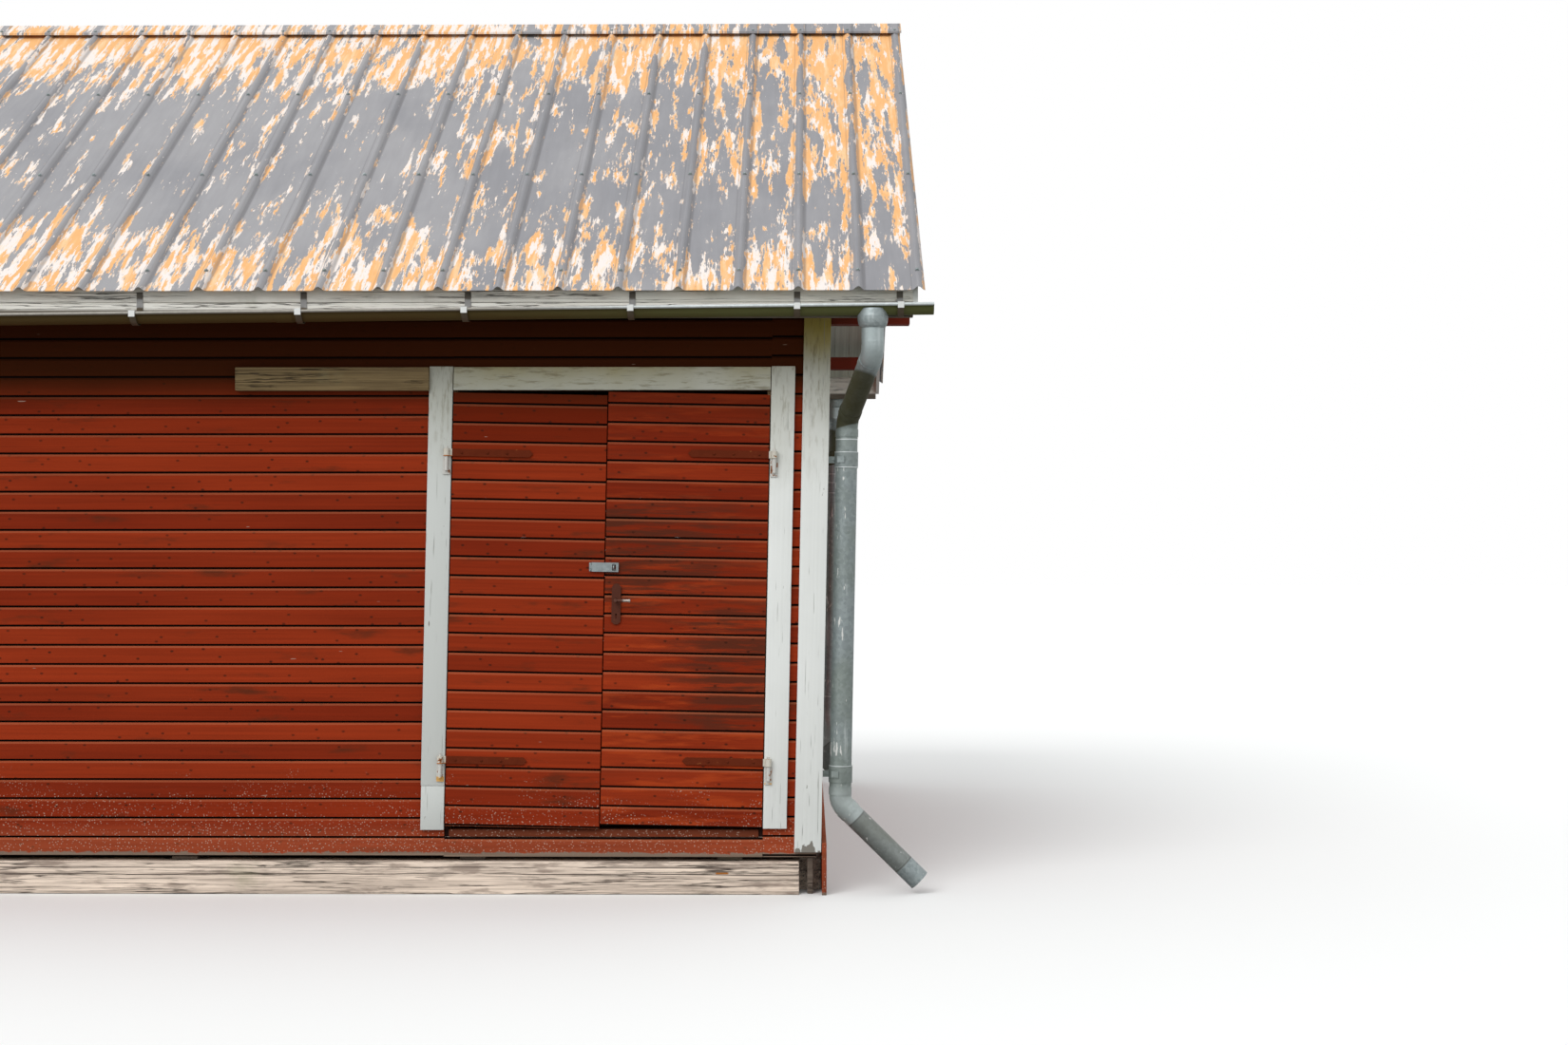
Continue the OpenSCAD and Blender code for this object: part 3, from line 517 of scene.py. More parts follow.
# %% Red paint of the right leaf
def damp_leaf_paint():
    paint = Finish("red_leaf_paint_damp", roughness=0.82, gloss=0.06)
    run, across, through, fine = grain(paint, "leaf")
    board = paint.mark("board")
    broad = paint.noise((run * 1.1, across * 2.6, board * 9), 3.0, 0.5)
    tone = (board * 0.5 + broad * 0.9 - 0.2 + paint.z.rise(0.9, 2.2) * 0.25).rise(0.0, 1.0)
    paint.colour = paint.dim(paint.mix(RED_BRIGHT, RED_DEEP, tone), 0.62 + fine * 0.76)
    left = paint.z.rise(1.28, 1.40) * paint.z.rise(1.92, 1.74) * paint.x.rise(2.90, 2.20)
    right = paint.z.rise(0.66, 0.84) * paint.z.rise(1.48, 1.25) * paint.x.rise(2.10, 2.50)
    zone = left.most(right)
    glow = paint.noise((paint.x * 2.6, across * 20, board * 1.5), 5.0, 0.6)
    paint.coat((0.41, 0.054, 0.0115), glow.rise(0.50, 0.66) * (0.30 + paint.z.rise(1.6, 1.2) * 0.40))
    drift = paint.noise((paint.x * 2.7, across * 30, board * 1.2), 7.0, 0.70)
    wet = drift * 0.78 + fine * 0.22 + zone * 0.10
    stain = wet.rise(0.50, 0.64) * (0.25 + zone * 0.62)
    paint.coat((0.080, 0.022, 0.011), stain)
    shade = (paint.z + broad * 0.1).rise(2.15, 2.50) * 0.45
    knot = red_wear_and_shade(paint, (run, across, through), fine, broad, shade)
    return paint.done(0.72 + fine * 0.22, fine * 0.7 + broad * 0.2 - knot * 0.3, 0.0011)


RED_RIGHT_LEAF = damp_leaf_paint()

# %% [markdown]
# ## Bare wood
# Inside, nothing is painted. Sawn pine goes from straw yellow to honey and grey brown, with dark
# knots and fine saw marks. The same recipe serves beams, studs, floor and the undersides of the
# roof boards, only with another run of the grain.


# %% Bare sawn pine
def sawn_pine(name, along, light=(0.46, 0.31, 0.17), dark=(0.22, 0.13, 0.07)):
    wood = Finish(name, roughness=0.8, gloss=0.15)
    run, across, through, fine = grain(wood, along, 1.1, 60.0)
    board = wood.mark("board")
    rings = wood.noise((run * 0.5, across * 14, through * 14), 2.0, 0.5, 1.2)
    wood.colour = wood.mix(light, dark, (fine * 0.8 + rings * 0.6 + board * 0.25 - 0.35).rise(0.1, 0.9))
    knot = wood.cells(run * 1.6, across * 7, through * 7 + board * 11)
    wood.coat((0.09, 0.045, 0.022), knot.rise(0.16, 0.07) * 0.9)
    grey = wood.noise((run * 0.7, across * 1.5, through), 3.0)
    wood.coat((0.22, 0.18, 0.14), grey.rise(0.48, 0.75) * 0.6)
    # Painted shade: the foot of the outer studs is made nearly black, where the gap under the wall boards
    # stays dark.
    if along == "up":
        gap = wood.z.rise(0.36, 0.34) * abs(wood.y).rise(2.37, 2.38)
        wood.coat((0.030, 0.010, 0.007), gap)
    if along == "slope":
        wood.coat(wood.dim((0.56, 0.61, 0.53), 0.6 + fine * 0.8), abs(wood.x).rise(2.97, 2.98))
    return wood.done(0.68 + fine * 0.2, fine + rings * 0.4, 0.0012)


PINE_X = sawn_pine("bare_pine_along", "x")
PINE_Y = sawn_pine("bare_pine_cross", "y")
PINE_UP = sawn_pine("bare_pine_upright", "up")
PINE_SLOPE = sawn_pine("bare_pine_slope", "slope")

# %% [markdown]
# ## The wall boards
# The walls are shiplap boards, 80 mm of face and a lap behind, laid at 89.4 mm. One board is made:
# a long block is sawn through its thickness, the back half of its top is drawn up as the lap, and
# the front edge is pushed back into a bevel. Copies of it are laid row by row, each a hair further
# in or out, because boards never lie quite flush. The whole wall is then sawn at its ends along the
# leaning lines. Modelling the true profile gives the dark groove and the light bevel at once.

# %% One shiplap board
COVER = 0.0894
FACE_HEIGHT = 0.0805
BEVEL_HEIGHT, BEVEL_DEPTH = 0.010, 0.0070
LINE = 0.254  # height of one board's lower edge on the walls


def shiplap_board(length, depth):
    """A board along +X, its face towards -Y and its lower edge on the ground."""
    board = block("shiplap_board", (0, 0, 0), (length, depth, FACE_HEIGHT))
    lap = depth * 0.55
    saw(board, (0, lap, 0), (0, 1, 0), drop=False)
    pick(board, lambda centre, normal: normal.z > 0.9 and centre.y > lap)
    bpy.ops.mesh.extrude_region_move(TRANSFORM_OT_translate={"value": (0, 0, COVER - FACE_HEIGHT - 0.0006)})
    close()
    saw(board, (0, 0, FACE_HEIGHT - BEVEL_HEIGHT), (0, 0, 1), drop=False)
    pick(board, lambda corner, normal: corner.y < 1e-5 and corner.z > FACE_HEIGHT - 1e-5, "VERT")
    bpy.ops.transform.translate(value=(0, BEVEL_DEPTH, 0))
    close()
    soften(board, 0.0008)
    mark_faces(board, "groove", [float(face.center.z > FACE_HEIGHT - 0.0007) for face in board.data.polygons])
    return board


print("a board shows", FACE_HEIGHT, "m and covers", COVER, "m")

# %% [markdown]
# ## A wall from one board
# A wall could be one mesh with grooves. Here rows of copies start from a known line, and each board gets
# a random number and a random hair of depth. The seed is fixed, so every run lays the same wall.


# %% A field of boards
def boarding(name, length, low, high, line, depth, seed, cover=COVER):
    """Rows of boards between two heights, one of which has its lower edge at the height line."""
    chance = random.Random(seed)
    first = math.floor((low - line) / cover + 0.05)
    last = math.ceil((high - line) / cover - 0.05)
    places = ((0, chance.uniform(0, 0.0016), line + n * cover) for n in range(first, last))
    field = lay(name, shiplap_board(length, depth), places, chance)
    saw(field, (0, 0, low), (0, 0, -1))
    saw(field, (0, 0, high), (0, 0, 1))
    print(name, "has", last - first, "rows")
    return field


def saw_leaning(obj, left, right):
    """Saws both ends along the lean, at their nominal places."""
    saw(obj, (left, 0, PLUMB_HEIGHT), -RIGHTWARD)
    saw(obj, (right, 0, PLUMB_HEIGHT), RIGHTWARD)


# %% [markdown]
# ## The long walls
# The front wall has four parts round the doorway, and each has its own line, read off the photograph.
# The rear wall is the same field turned half round, so that its face and bevels look the other way.


# %% The long walls
def long_wall(node, seed, line=LINE, turned=False):
    low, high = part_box(node)
    left, right = nominal_ends(node)
    wall = boarding(node + "_boards", right - left + 0.2, low.z, high.z, line, high.y - low.y, seed)
    if turned:
        settle(wall, (0, 0, math.pi), (right + 0.1, high.y, 0))
    else:
        settle(wall, (0, 0, 0), (left - 0.1, low.y, 0))
    saw_leaning(wall, left, right)
    inward = (0, -1, 0) if turned else (0, 1, 0)
    hand_over(wall, "red_boards", RED_WALL, node, inner=PINE_X, inward=inward)


long_wall("front_wall_left", 11, line=0.2685)
long_wall("front_wall_right", 12, line=0.2765)
long_wall("front_wall_over_door", 13, line=0.2695)
long_wall("front_wall_below_door", 14, line=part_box("front_wall_below_door")[0].z)
long_wall("rear_wall", 15, turned=True)


# %% [markdown]
# ## The end walls
# The two end walls carry the same boards, turned a quarter and leaned over as a whole, because the
# lean is in their own plane's thickness and not along it. Two sawcuts along the roof give the gable.
# The beams pass straight through the boards, so no notches have to be cut for them.


# %% The end walls
def gable_wall(node, side, seed):
    low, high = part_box(node)
    wall = boarding(node + "_boards", 5.0, low.z - 0.03, high.z + 0.1, LINE, THIN_BOARD, seed)
    face = side * GABLE_FACE
    settle(wall, (0, 0, side * math.pi / 2), (face, -side * 2.5, 0))
    lean_over(wall, face)
    saw(wall, (0, low.y, 0), (0, -1, 0))
    saw(wall, (0, high.y, 0), (0, 1, 0))
    saw(wall, (0, 0, low.z), (0, 0, -1))
    for slope in (-1, 1):
        saw(wall, (0, 0, high.z), (0, slope * math.sin(PITCH), math.cos(PITCH)))
    hand_over(wall, "red_boards", RED_GABLE, node, inner=PINE_Y, inward=(-side, 0, 0))


gable_wall("left_gable_wall", -1, 16)
gable_wall("right_gable_wall", 1, 17)

# %% [markdown]
# ## The two leaves
# Each leaf is a field of the same boards on a frame of two stiles and three rails, which shows when the
# door stands open. Its size is worked out from the box that the leaning solid fills.


# %% Size and foot of a leaf
def leaf_size(node):
    low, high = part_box(node)
    wide, tall = high.x - low.x, high.z - low.z
    s, c = math.sin(LEAN), math.cos(LEAN)
    width = (wide * c - tall * s) / (c * c - s * s)
    height = (tall * c - wide * s) / (c * c - s * s)
    return width, height, Vector((low.x, low.y, low.z + width * s))


def leaf_frame(name, width, height, back, front):
    """Two stiles and three rails behind the boards, with broken edges."""
    wide = 0.095
    pieces = []
    for x in (0, width - wide):
        pieces.append(block(name, (x, front, 0), (x + wide, back, height)))
    for z in (0, (height - wide) / 2, height - wide):
        pieces.append(block(name, (wide + 0.0004, front, z), (width - wide - 0.0004, back, z + wide)))
    return softened_set(name, pieces, 0.0025, step=0.17)


print("left leaf", [round(v, 3) for v in leaf_size("left_door_leaf")[:2]])

# %% [markdown]
# ## Hanging the leaves
# A leaf is built plumb with its lower left corner at the origin, then turned by the lean and set at its
# foot. The left leaf's rows start a little higher. The backs of the boards are bare wood.


# %% Both leaves
LEAF_BOARD, LEAF_COVER = 0.020, 0.0891


def leaf(node, body, line, paint, seed):
    width, height, foot = leaf_size(node)
    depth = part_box(node)[1].y - foot.y
    boards = boarding(node + "_boards", width, 0, height, line, LEAF_BOARD, seed, LEAF_COVER)
    settle(boards, (0, LEAN, 0), foot)
    hand_over(boards, "red_door_boards", paint, node, body=body, inner=PINE_X, inward=(0, 1, 0))
    back = leaf_frame(node + "_frame", width, height, depth, LEAF_BOARD + 0.0003)
    settle(back, (0, LEAN, 0), foot)
    hand_over(back, "red_door_boards", RED_LEFT_LEAF, node, body=body)


leaf("left_door_leaf", "left_door", 0.0105, RED_LEFT_LEAF, 21)
leaf("right_door_leaf", "right_door", 0.0080, RED_RIGHT_LEAF, 22)

# %% [markdown]
# ## White paint
# The trim is planed board in an old oil paint. It has hairline cracks along the grain, small chips
# that show grey wood, mossy green where the eave keeps it wet, and a peeled grey foot where the
# splash reaches it.


# %% White paint
WHITE = (0.81, 0.825, 0.80)
WHITE_DULL = (0.71, 0.725, 0.695)
WHITE_GRIMY = (0.42, 0.42, 0.335)
WHITE_MOSSY = (0.34, 0.262, 0.045)
GREY_WOOD = (0.215, 0.195, 0.165)
CORNER_WIDTH = 0.125
CORNER_MIDDLE = nominal_ends("corner_boards")[1] - CORNER_WIDTH / 2 - PLUMB_HEIGHT * SKEW


def white_paint(name, along, moss_from=2.30, foot=0.196):
    paint = Finish(name, roughness=0.55)
    run, across, through, fine = grain(paint, along, 1.0, 90.0)
    broad = paint.noise(paint.place, 4.0, 0.55, scale=2.2)
    paint.colour = paint.mix(WHITE, WHITE_DULL, (broad * 0.9 + fine * 0.5 - 0.2).rise(0.2, 0.9))
    # Painted shade: the white is made darker towards the left side of the front.
    paint.coat((0.56, 0.58, 0.555), paint.x.rise(2.5, 1.5) * 0.85)
    grimy = (paint.z + broad * 0.25).rise(moss_from - 0.38, moss_from + 0.30)
    paint.coat(WHITE_GRIMY, grimy * (0.55 + broad * 0.5))
    moss = (paint.z + broad * 0.20).rise(moss_from + 0.18, moss_from + 0.46)
    paint.coat(WHITE_MOSSY, moss * (0.70 + broad * 0.5))
    mould = paint.noise((run * 9, across * 55, through * 55), 6.0, 0.7)
    paint.coat((0.15, 0.115, 0.045), mould.rise(0.50, 0.66) * grimy * 0.55)
    dry = paint.z.rise(1.1, 0.3) * 0.035
    crack = (paint.noise((run * 5, across * 160, through * 160), 2.0, 0.5) + dry).rise(0.68, 0.73)
    paint.coat((0.25, 0.25, 0.225), crack * 0.65)
    chip = paint.noise((run * 14, across * 34, through * 34), 5.0, 0.6)
    patch = abs(paint.x - paint.z * SKEW - CORNER_MIDDLE).rise(0.040, 0.016) * 0.034
    low = (paint.z + broad * 0.06 - 0.03 - patch).rise(foot + 0.035, foot - 0.02)
    peel = (chip + low * 0.29 + dry * 0.6).rise(0.70, 0.725)
    paint.coat(GREY_WOOD, peel * 0.95)
    nail = paint.cells(run * 2.2, across * 9, paint.mark("board") * 3)
    paint.coat((0.16, 0.13, 0.10), nail.rise(0.045, 0.030) * 0.9)
    return paint.done(0.50 + fine * 0.14 + peel * 0.3, fine * 0.35 - peel * 0.6 - crack * 0.5, 0.0009)


WHITE_UP = white_paint("white_paint_upright", "up")
WHITE_ALONG = white_paint("white_paint_along", "x", 2.22, 0.0)
WHITE_SLOPE = white_paint("white_paint_slope", "slope", 4.30, 0.0)


# %% [markdown]
# ## The white boards
# Jambs, head board and corner boards are plain planed boards. Each is a block that is leaned over,
# sawn level at both ends, and softened. The foot of the left jamb has been spliced with a new piece,
# so that board is sawn through and the two parts stand a hair apart.


# %% Upright boards
def upright_board(name, left, right, front, back, foot, top, number):
    board = block(name, (left, front, foot - 0.06), (right, back, top + 0.06))
    lean_over(board, (left + right) / 2)
    saw(board, (0, 0, foot), (0, 0, -1))
    saw(board, (0, 0, top), (0, 0, 1))
    soften(board, 0.0022, 2)
    number_board(board, number)
    return board


trim_low, trim_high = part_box("door_trim")
trim_left, trim_right = trim_low.x - sway(trim_low.z), trim_high.x - sway(trim_high.z)
TRIM_WIDTH = 0.110
front, back, top = trim_low.y, trim_high.y, trim_high.z
inner_left, inner_right = trim_left + TRIM_WIDTH, trim_right - TRIM_WIDTH
trim = [
    upright_board("jamb", trim_left, inner_left, front, back, 0.5055, top, 0.1),
    upright_board("jamb", trim_left + 0.0015, inner_left, front + 0.001, back, trim_low.z, 0.5045, 0.6),
    upright_board("jamb", inner_right, trim_right, front, back, 0.308, top, 0.3),
]
hand_over(joined("door_jambs", trim), "white_boards", WHITE_UP, "door_trim")
head = block("door_head", (trim_left, front, 2.3445), (trim_right, back - 0.0004, top - 0.003))
saw_leaning(head, inner_left + 0.0035, inner_right - 0.0035)
soften(head, 0.0022, 2)
hand_over(head, "white_boards", WHITE_ALONG, "door_trim")

# %% [markdown]
# ## The corners
# A corner is a wide board on the long wall and a narrow one behind its edge, four times round. It could
# be one angle piece, but real corner boards show a joint, so both boards are made.

# %% Corner boards
corner_low, corner_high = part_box("corner_boards")
edge = corner_high.x - sway(corner_high.z)
corners = []
for side in (-1, 1):
    for face, top in ((-1, 2.653), (1, 2.828)):
        wide = sorted((side * (edge - CORNER_WIDTH), side * edge))
        narrow = sorted((side * (edge - 0.0218), side * edge))
        outer = sorted((face * TRIM_FACE, face * 2.4202))
        inner = sorted((face * 2.420, face * 2.317))
        number = len(corners) * 0.13
        corners.append(upright_board("corner", *wide, *outer, corner_low.z, corner_high.z, number))
        corners.append(upright_board("corner", *narrow, *inner, corner_low.z, top, number + 0.07))
hand_over(joined("corner_board_pairs", corners), "white_boards", WHITE_UP, "corner_boards")

# %% [markdown]
# ## Weathered wood
# Timbers on the ground and the fascia have lost all paint. Rain and sun leave silver grey ridges
# with dark cracks between them, tan where the surface is fresher. The cracks follow the grain and
# never cross it, so one stretched noise, folded at its middle value, draws them.


# %% Weathered wood
SILVER, SHADOW = (0.97, 0.80, 0.66), (0.27, 0.21, 0.17)


def weathered(name, along, light=SILVER, dark=SHADOW, crack=0.05, splits=(), painted_shade_below=0.0):
    wood = Finish(name, roughness=0.88, gloss=0.12)
    run, across, through, fine = grain(wood, along, 2.4, 200.0, 6.0)
    layers = wood.noise((run * 1.1, across * 38, through * 38), 6.0, 0.66)
    broad = wood.noise((run * 1.9, across * 8, through * 8), 5.0, 0.6)
    wood.colour = wood.mix(dark, light, (fine * 0.8 + layers * 0.8 + broad * 0.5 - 0.60).rise(0.12, 0.68))
    if splits:
        blotch = wood.noise((run * 3.4, across * 17, through * 17), 5.0, 0.62)
        wood.coat((0.215, 0.155, 0.125), blotch.rise(0.53, 0.66) * 0.62)
    fold = abs(wood.noise((run * 1.0, across * 46, through * 46), 4.0, 0.6) - 0.5)
    open_crack = fold.rise(crack * 0.42, crack * 0.10) * broad.rise(0.40, 0.56)
    for split in splits:
        wander = wood.noise((run * 1.6, split * 90), 3.0, 0.5) * 0.016 - 0.008
        long_crack = abs(wood.z - split - wander).rise(0.0022, 0.0012)
        open_crack = open_crack.most(long_crack * broad.rise(0.36, 0.44))
    wood.coat((0.055, 0.040, 0.032), open_crack * 0.85)
    if len(splits) > 1:
        fresh = abs(wood.x - 2.516).rise(0.034, 0.024)
        fresh = fresh * abs(wood.z + fine * 0.006 - 0.102).rise(0.0052, 0.0036)
        wood.coat((0.46, 0.165, 0.035), fresh)
    # Painted shade: the fascia is darkened below a given height, where it hangs in the gutter's shadow.
    if painted_shade_below:
        wood.coat((0.075, 0.052, 0.026), wood.z.rise(painted_shade_below + 0.008, painted_shade_below - 0.008) * 0.88)
    moss = wood.noise(wood.place, 5.0, 0.6, scale=3.1)
    wood.coat((0.27, 0.27, 0.15), moss.rise(0.58, 0.74) * 0.35)
    return wood.done(0.80 + fine * 0.15, fine * 0.4 + layers * 0.5 + broad * 0.3 - open_crack * 1.2, 0.003)


GREY_ALONG = weathered("weathered_timber_along", "x", splits=(0.094, 0.124))
GREY_CROSS = weathered("weathered_timber_cross", "y", splits=(0.090,))
GREY_PACKING = weathered("weathered_packing", "x", (0.20, 0.16, 0.13), (0.09, 0.065, 0.05))
# The fascia colours are lighter than weathered wood: partly its own pale tone, partly painted light against
# the shade under the sheets.
FASCIA = weathered("weathered_fascia", "x", (0.99, 0.97, 0.90), (0.86, 0.83, 0.75), 0.030, painted_shade_below=2.690)
LEDGER = weathered("weathered_ledger", "x", (0.30, 0.215, 0.105), (0.145, 0.098, 0.05), 0.04)


# %% [markdown]
# ## Timbers on the ground
# The base timbers are squared trunks that have lain on wet ground for decades. A block is divided
# along its length, its long edges are worn off with a wide bevel, and a cloud pattern wears the
# faces inwards. The face that lies on the ground is left flat.


# %% Worn timbers
def worn_timber(name, low, high, divisions, wear=0.006, edge=0.009):
    timber = block(name, low, high)
    axis = 0 if high[0] - low[0] > high[1] - low[1] else 1
    soften(timber, edge, 2)
    for n in range(1, divisions):
        point = Vector(low)
        point[axis] += (high[axis] - low[axis]) * n / divisions
        saw(timber, point, Vector((axis == 0, axis == 1, 0)), drop=False)
    cloud = bpy.data.textures.get("wear") or bpy.data.textures.new("wear", "CLOUDS")
    cloud.noise_scale = 0.16
    group = timber.vertex_groups.new(name="above_ground")
    group.add([v.index for v in timber.data.vertices if v.co.z > low[2] + 0.004], 1.0, "REPLACE")
    displace = timber.modifiers.new("wear", "DISPLACE")
    displace.texture = cloud
    displace.texture_coords = "LOCAL"
    displace.mid_level = 0.0
    displace.strength = -wear
    displace.vertex_group = group.name
    take(timber)
    bpy.ops.object.modifier_apply(modifier=displace.name)
    return timber


base_low, base_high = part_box("base_timbers")
BASE_LINE, BASE_HALF, SHORT_WIDTH = 2.357, 0.075, 0.1498
fronts = []
for number, y in enumerate((-BASE_LINE, BASE_LINE)):
    fronts.append(worn_timber("base", (-2.997, y - BASE_HALF, 0), (2.877, y + BASE_HALF, base_high.z), 40))
    number_board(fronts[-1], 0.31 * number)
hand_over(joined("base_timbers_long", fronts), "weathered_wood", GREY_ALONG, "base_timbers")
sides = [
    worn_timber("base", (x, -2.270, 0), (x + SHORT_WIDTH, 2.270, base_high.z), 34)
    for x in (base_low.x, base_high.x - SHORT_WIDTH)
]
hand_over(joined("base_timbers_short", sides), "weathered_wood", GREY_CROSS, "base_timbers")

# %% [markdown]
# ## Packing
# Short blocks lie between the base timbers and the sill and keep it dry, and a plank stands on edge at
# the right corners. All have wide soft edges, because old offcuts have no sharp ones.

# %% Packing under the sill
pack_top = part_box("packing_blocks")[1].z
pack_foot = base_high.z + 0.0002
packs = []
for side in (-1, 1):
    for x in (-2.7, -1.35, 0, 1.35, 2.55):
        y = sorted((side * 2.380, side * 2.310))
        packs.append(block("packing", (x - 0.06, y[0], pack_foot), (x + 0.06, y[1], pack_top)))
    y = sorted((side * 2.396, side * 2.296))
    packs.append(block("packing", (2.911, y[0], 0), (2.939, y[1], pack_top)))
for x in (-2.965, 2.851):
    for y in (-1.4, 0, 1.4):
        packs.append(block("packing", (x, y - 0.06, pack_foot), (x + 0.07, y + 0.06, pack_top)))
packing = softened_set("packing_pieces", packs, 0.004, 2, 0.11)
hand_over(packing, "weathered_wood", GREY_PACKING, "packing_blocks")

# %% [markdown]
# ## Fascia
# The fascia is two boards over a backing board, the upper one planed along the slope of the roof. The
# line between them could be painted, but two boards with soft edges make it by themselves.


# %% Fascia
def fascia_side(side):
    boards = []
    low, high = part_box("fascia_boards")
    roof_at_face = EAVE_HEIGHT + (HALF_RUN - FASCIA_FACE) * math.tan(PITCH)
    backing, lower = (2.698, 2.676, low.z, 2.83), (2.718, 2.6982, low.z, 2.7210)
    for near, far, foot, top in (backing, lower, (FASCIA_FACE, 2.6982, 2.7228, 2.83)):
        y = sorted((side * near, side * far))
        board = block("fascia", (low.x, y[0], foot), (high.x, y[1], top))
        saw(board, (0, side * FASCIA_FACE, roof_at_face), (0, side * math.sin(PITCH), math.cos(PITCH)))
        soften(board, 0.0025, 2)
        number_board(board, 0.21 * len(boards) + 0.1)
        boards.append(board)
    return boards


fascias = joined("fascia_board_sets", fascia_side(-1) + fascia_side(1))
hand_over(fascias, "weathered_wood", FASCIA, "fascia_boards")

# %% [markdown]
# ## Small boards
# A bare ledger board is nailed to the wall beside the doorway, a red board closes the gap under the
# leaves, and one at each end wall reaches the ground. Blocks with broken edges catch the light as
# sawn boards do, which the plain solids wouldn't.

# %% Ledger, threshold and plinth boards
ledger = soften(block("ledger", *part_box("ledger_board")), 0.004, 2)
hand_over(ledger, "bare_wood", LEDGER, "ledger_board")
low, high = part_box("threshold")
sill_left, sill_right = nominal_ends("threshold")
sill = block("threshold_board", (sill_left - 0.1, low.y, low.z), (sill_right + 0.1, high.y, high.z))
saw_leaning(sill, sill_left, sill_right)
soften(sill, 0.003, 2)
hand_over(sill, "red_boards", RED_SILL, "threshold")
low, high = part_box("plinth_boards")
plinths = [
    block("plinth", (x, low.y, low.z), (x + THIN_BOARD, high.y, high.z)) for x in (low.x, high.x - THIN_BOARD)
]
plinth_pair = softened_set("plinth_board_pair", plinths, 0.003, 2, 0.3, 0.4)
hand_over(plinth_pair, "red_boards", RED_PLINTH, "plinth_boards")

# %% [markdown]
# ## Roof boards
# Under the sheets lie sawn boards that run up the slope. One board is softened and copied side by side
# with a narrow gap, so that every board has its own number, and so its own tone.


# %% Roof boards
ROOF_BOARDS = 70


def roof_side():
    low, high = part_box("roof_boards")
    length = HALF_RUN / math.cos(PITCH)
    pattern = soften(block("roof_board", (0, 0.03, -0.0217), (0.0955, length, -0.0002)), 0.0015)
    settle(pattern, (PITCH, 0, 0), (0, -HALF_RUN, EAVE_HEIGHT))
    places = ((low.x + n * (high.x - low.x) / ROOF_BOARDS, 0, 0) for n in range(ROOF_BOARDS))
    slope = lay("roof_boards_front", pattern, places, random.Random(31))
    saw(slope, (0, low.y, 0), (0, -1, 0))
    saw(slope, (0, -0.0002, 0), (0, 1, 0))
    return slope


front_slope = roof_side()
rear_slope = settle(copy_of(front_slope), (0, 0, math.pi))
slopes = joined("roof_board_rows", [front_slope, rear_slope])
hand_over(slopes, "bare_wood", PINE_SLOPE, "roof_boards")

# %% [markdown]
# ## The floor
# One plank is laid 46 times, and nine joists carry it. Both show when the leaves stand open, so they
# are separate boards with gaps and not one slab.

# %% Floor boards and joists
low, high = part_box("floor")
FLOOR_UNDER, PLANKS = 0.265, 46
plank = soften(block("plank", (low.x, 0, FLOOR_UNDER), (high.x, 0.0985, high.z)), 0.002)
places = ((0, low.y + n * (high.y - low.y) / PLANKS + 0.0006, 0) for n in range(PLANKS))
hand_over(lay("floor_planks", plank, places, random.Random(41)), "bare_wood", PINE_X, "floor")
joists = []
for n in range(9):
    x = low.x + 0.1 + n * (high.x - low.x - 0.2) / 8
    joists.append(block("joist", (x - 0.025, low.y, low.z), (x + 0.025, high.y, FLOOR_UNDER - 0.0002)))
hand_over(softened_set("floor_joists", joists, 0.003), "bare_wood", PINE_Y, "floor")

# %% [markdown]
# ## The flaking roof
# The sheets were primed white, given an orange undercoat and painted grey. The grey comes off in
# long thin flakes down the slope, most of all under the ridge, in the middle of the bays near the
# right verge and along the ribs. Round each flake a rim of primer shows, and inside it the undercoat
# has often gone too. Each coat is a mask: noise stretched five times down the slope, cut off sharply
# where it passes a level, and that level is lowered by place. Dark lines beside each rib are partly
# dirt at its foot and partly painted shade on its flanks, heavier on the right side.


# %% Roof paint
ROOF_GREY = (0.240, 0.238, 0.254)
UNDERCOAT = (0.80, 0.42, 0.165)
PRIMER = (0.80, 0.73, 0.69)
RIB_PITCH = 0.2705
FIRST_RIB = 3.412


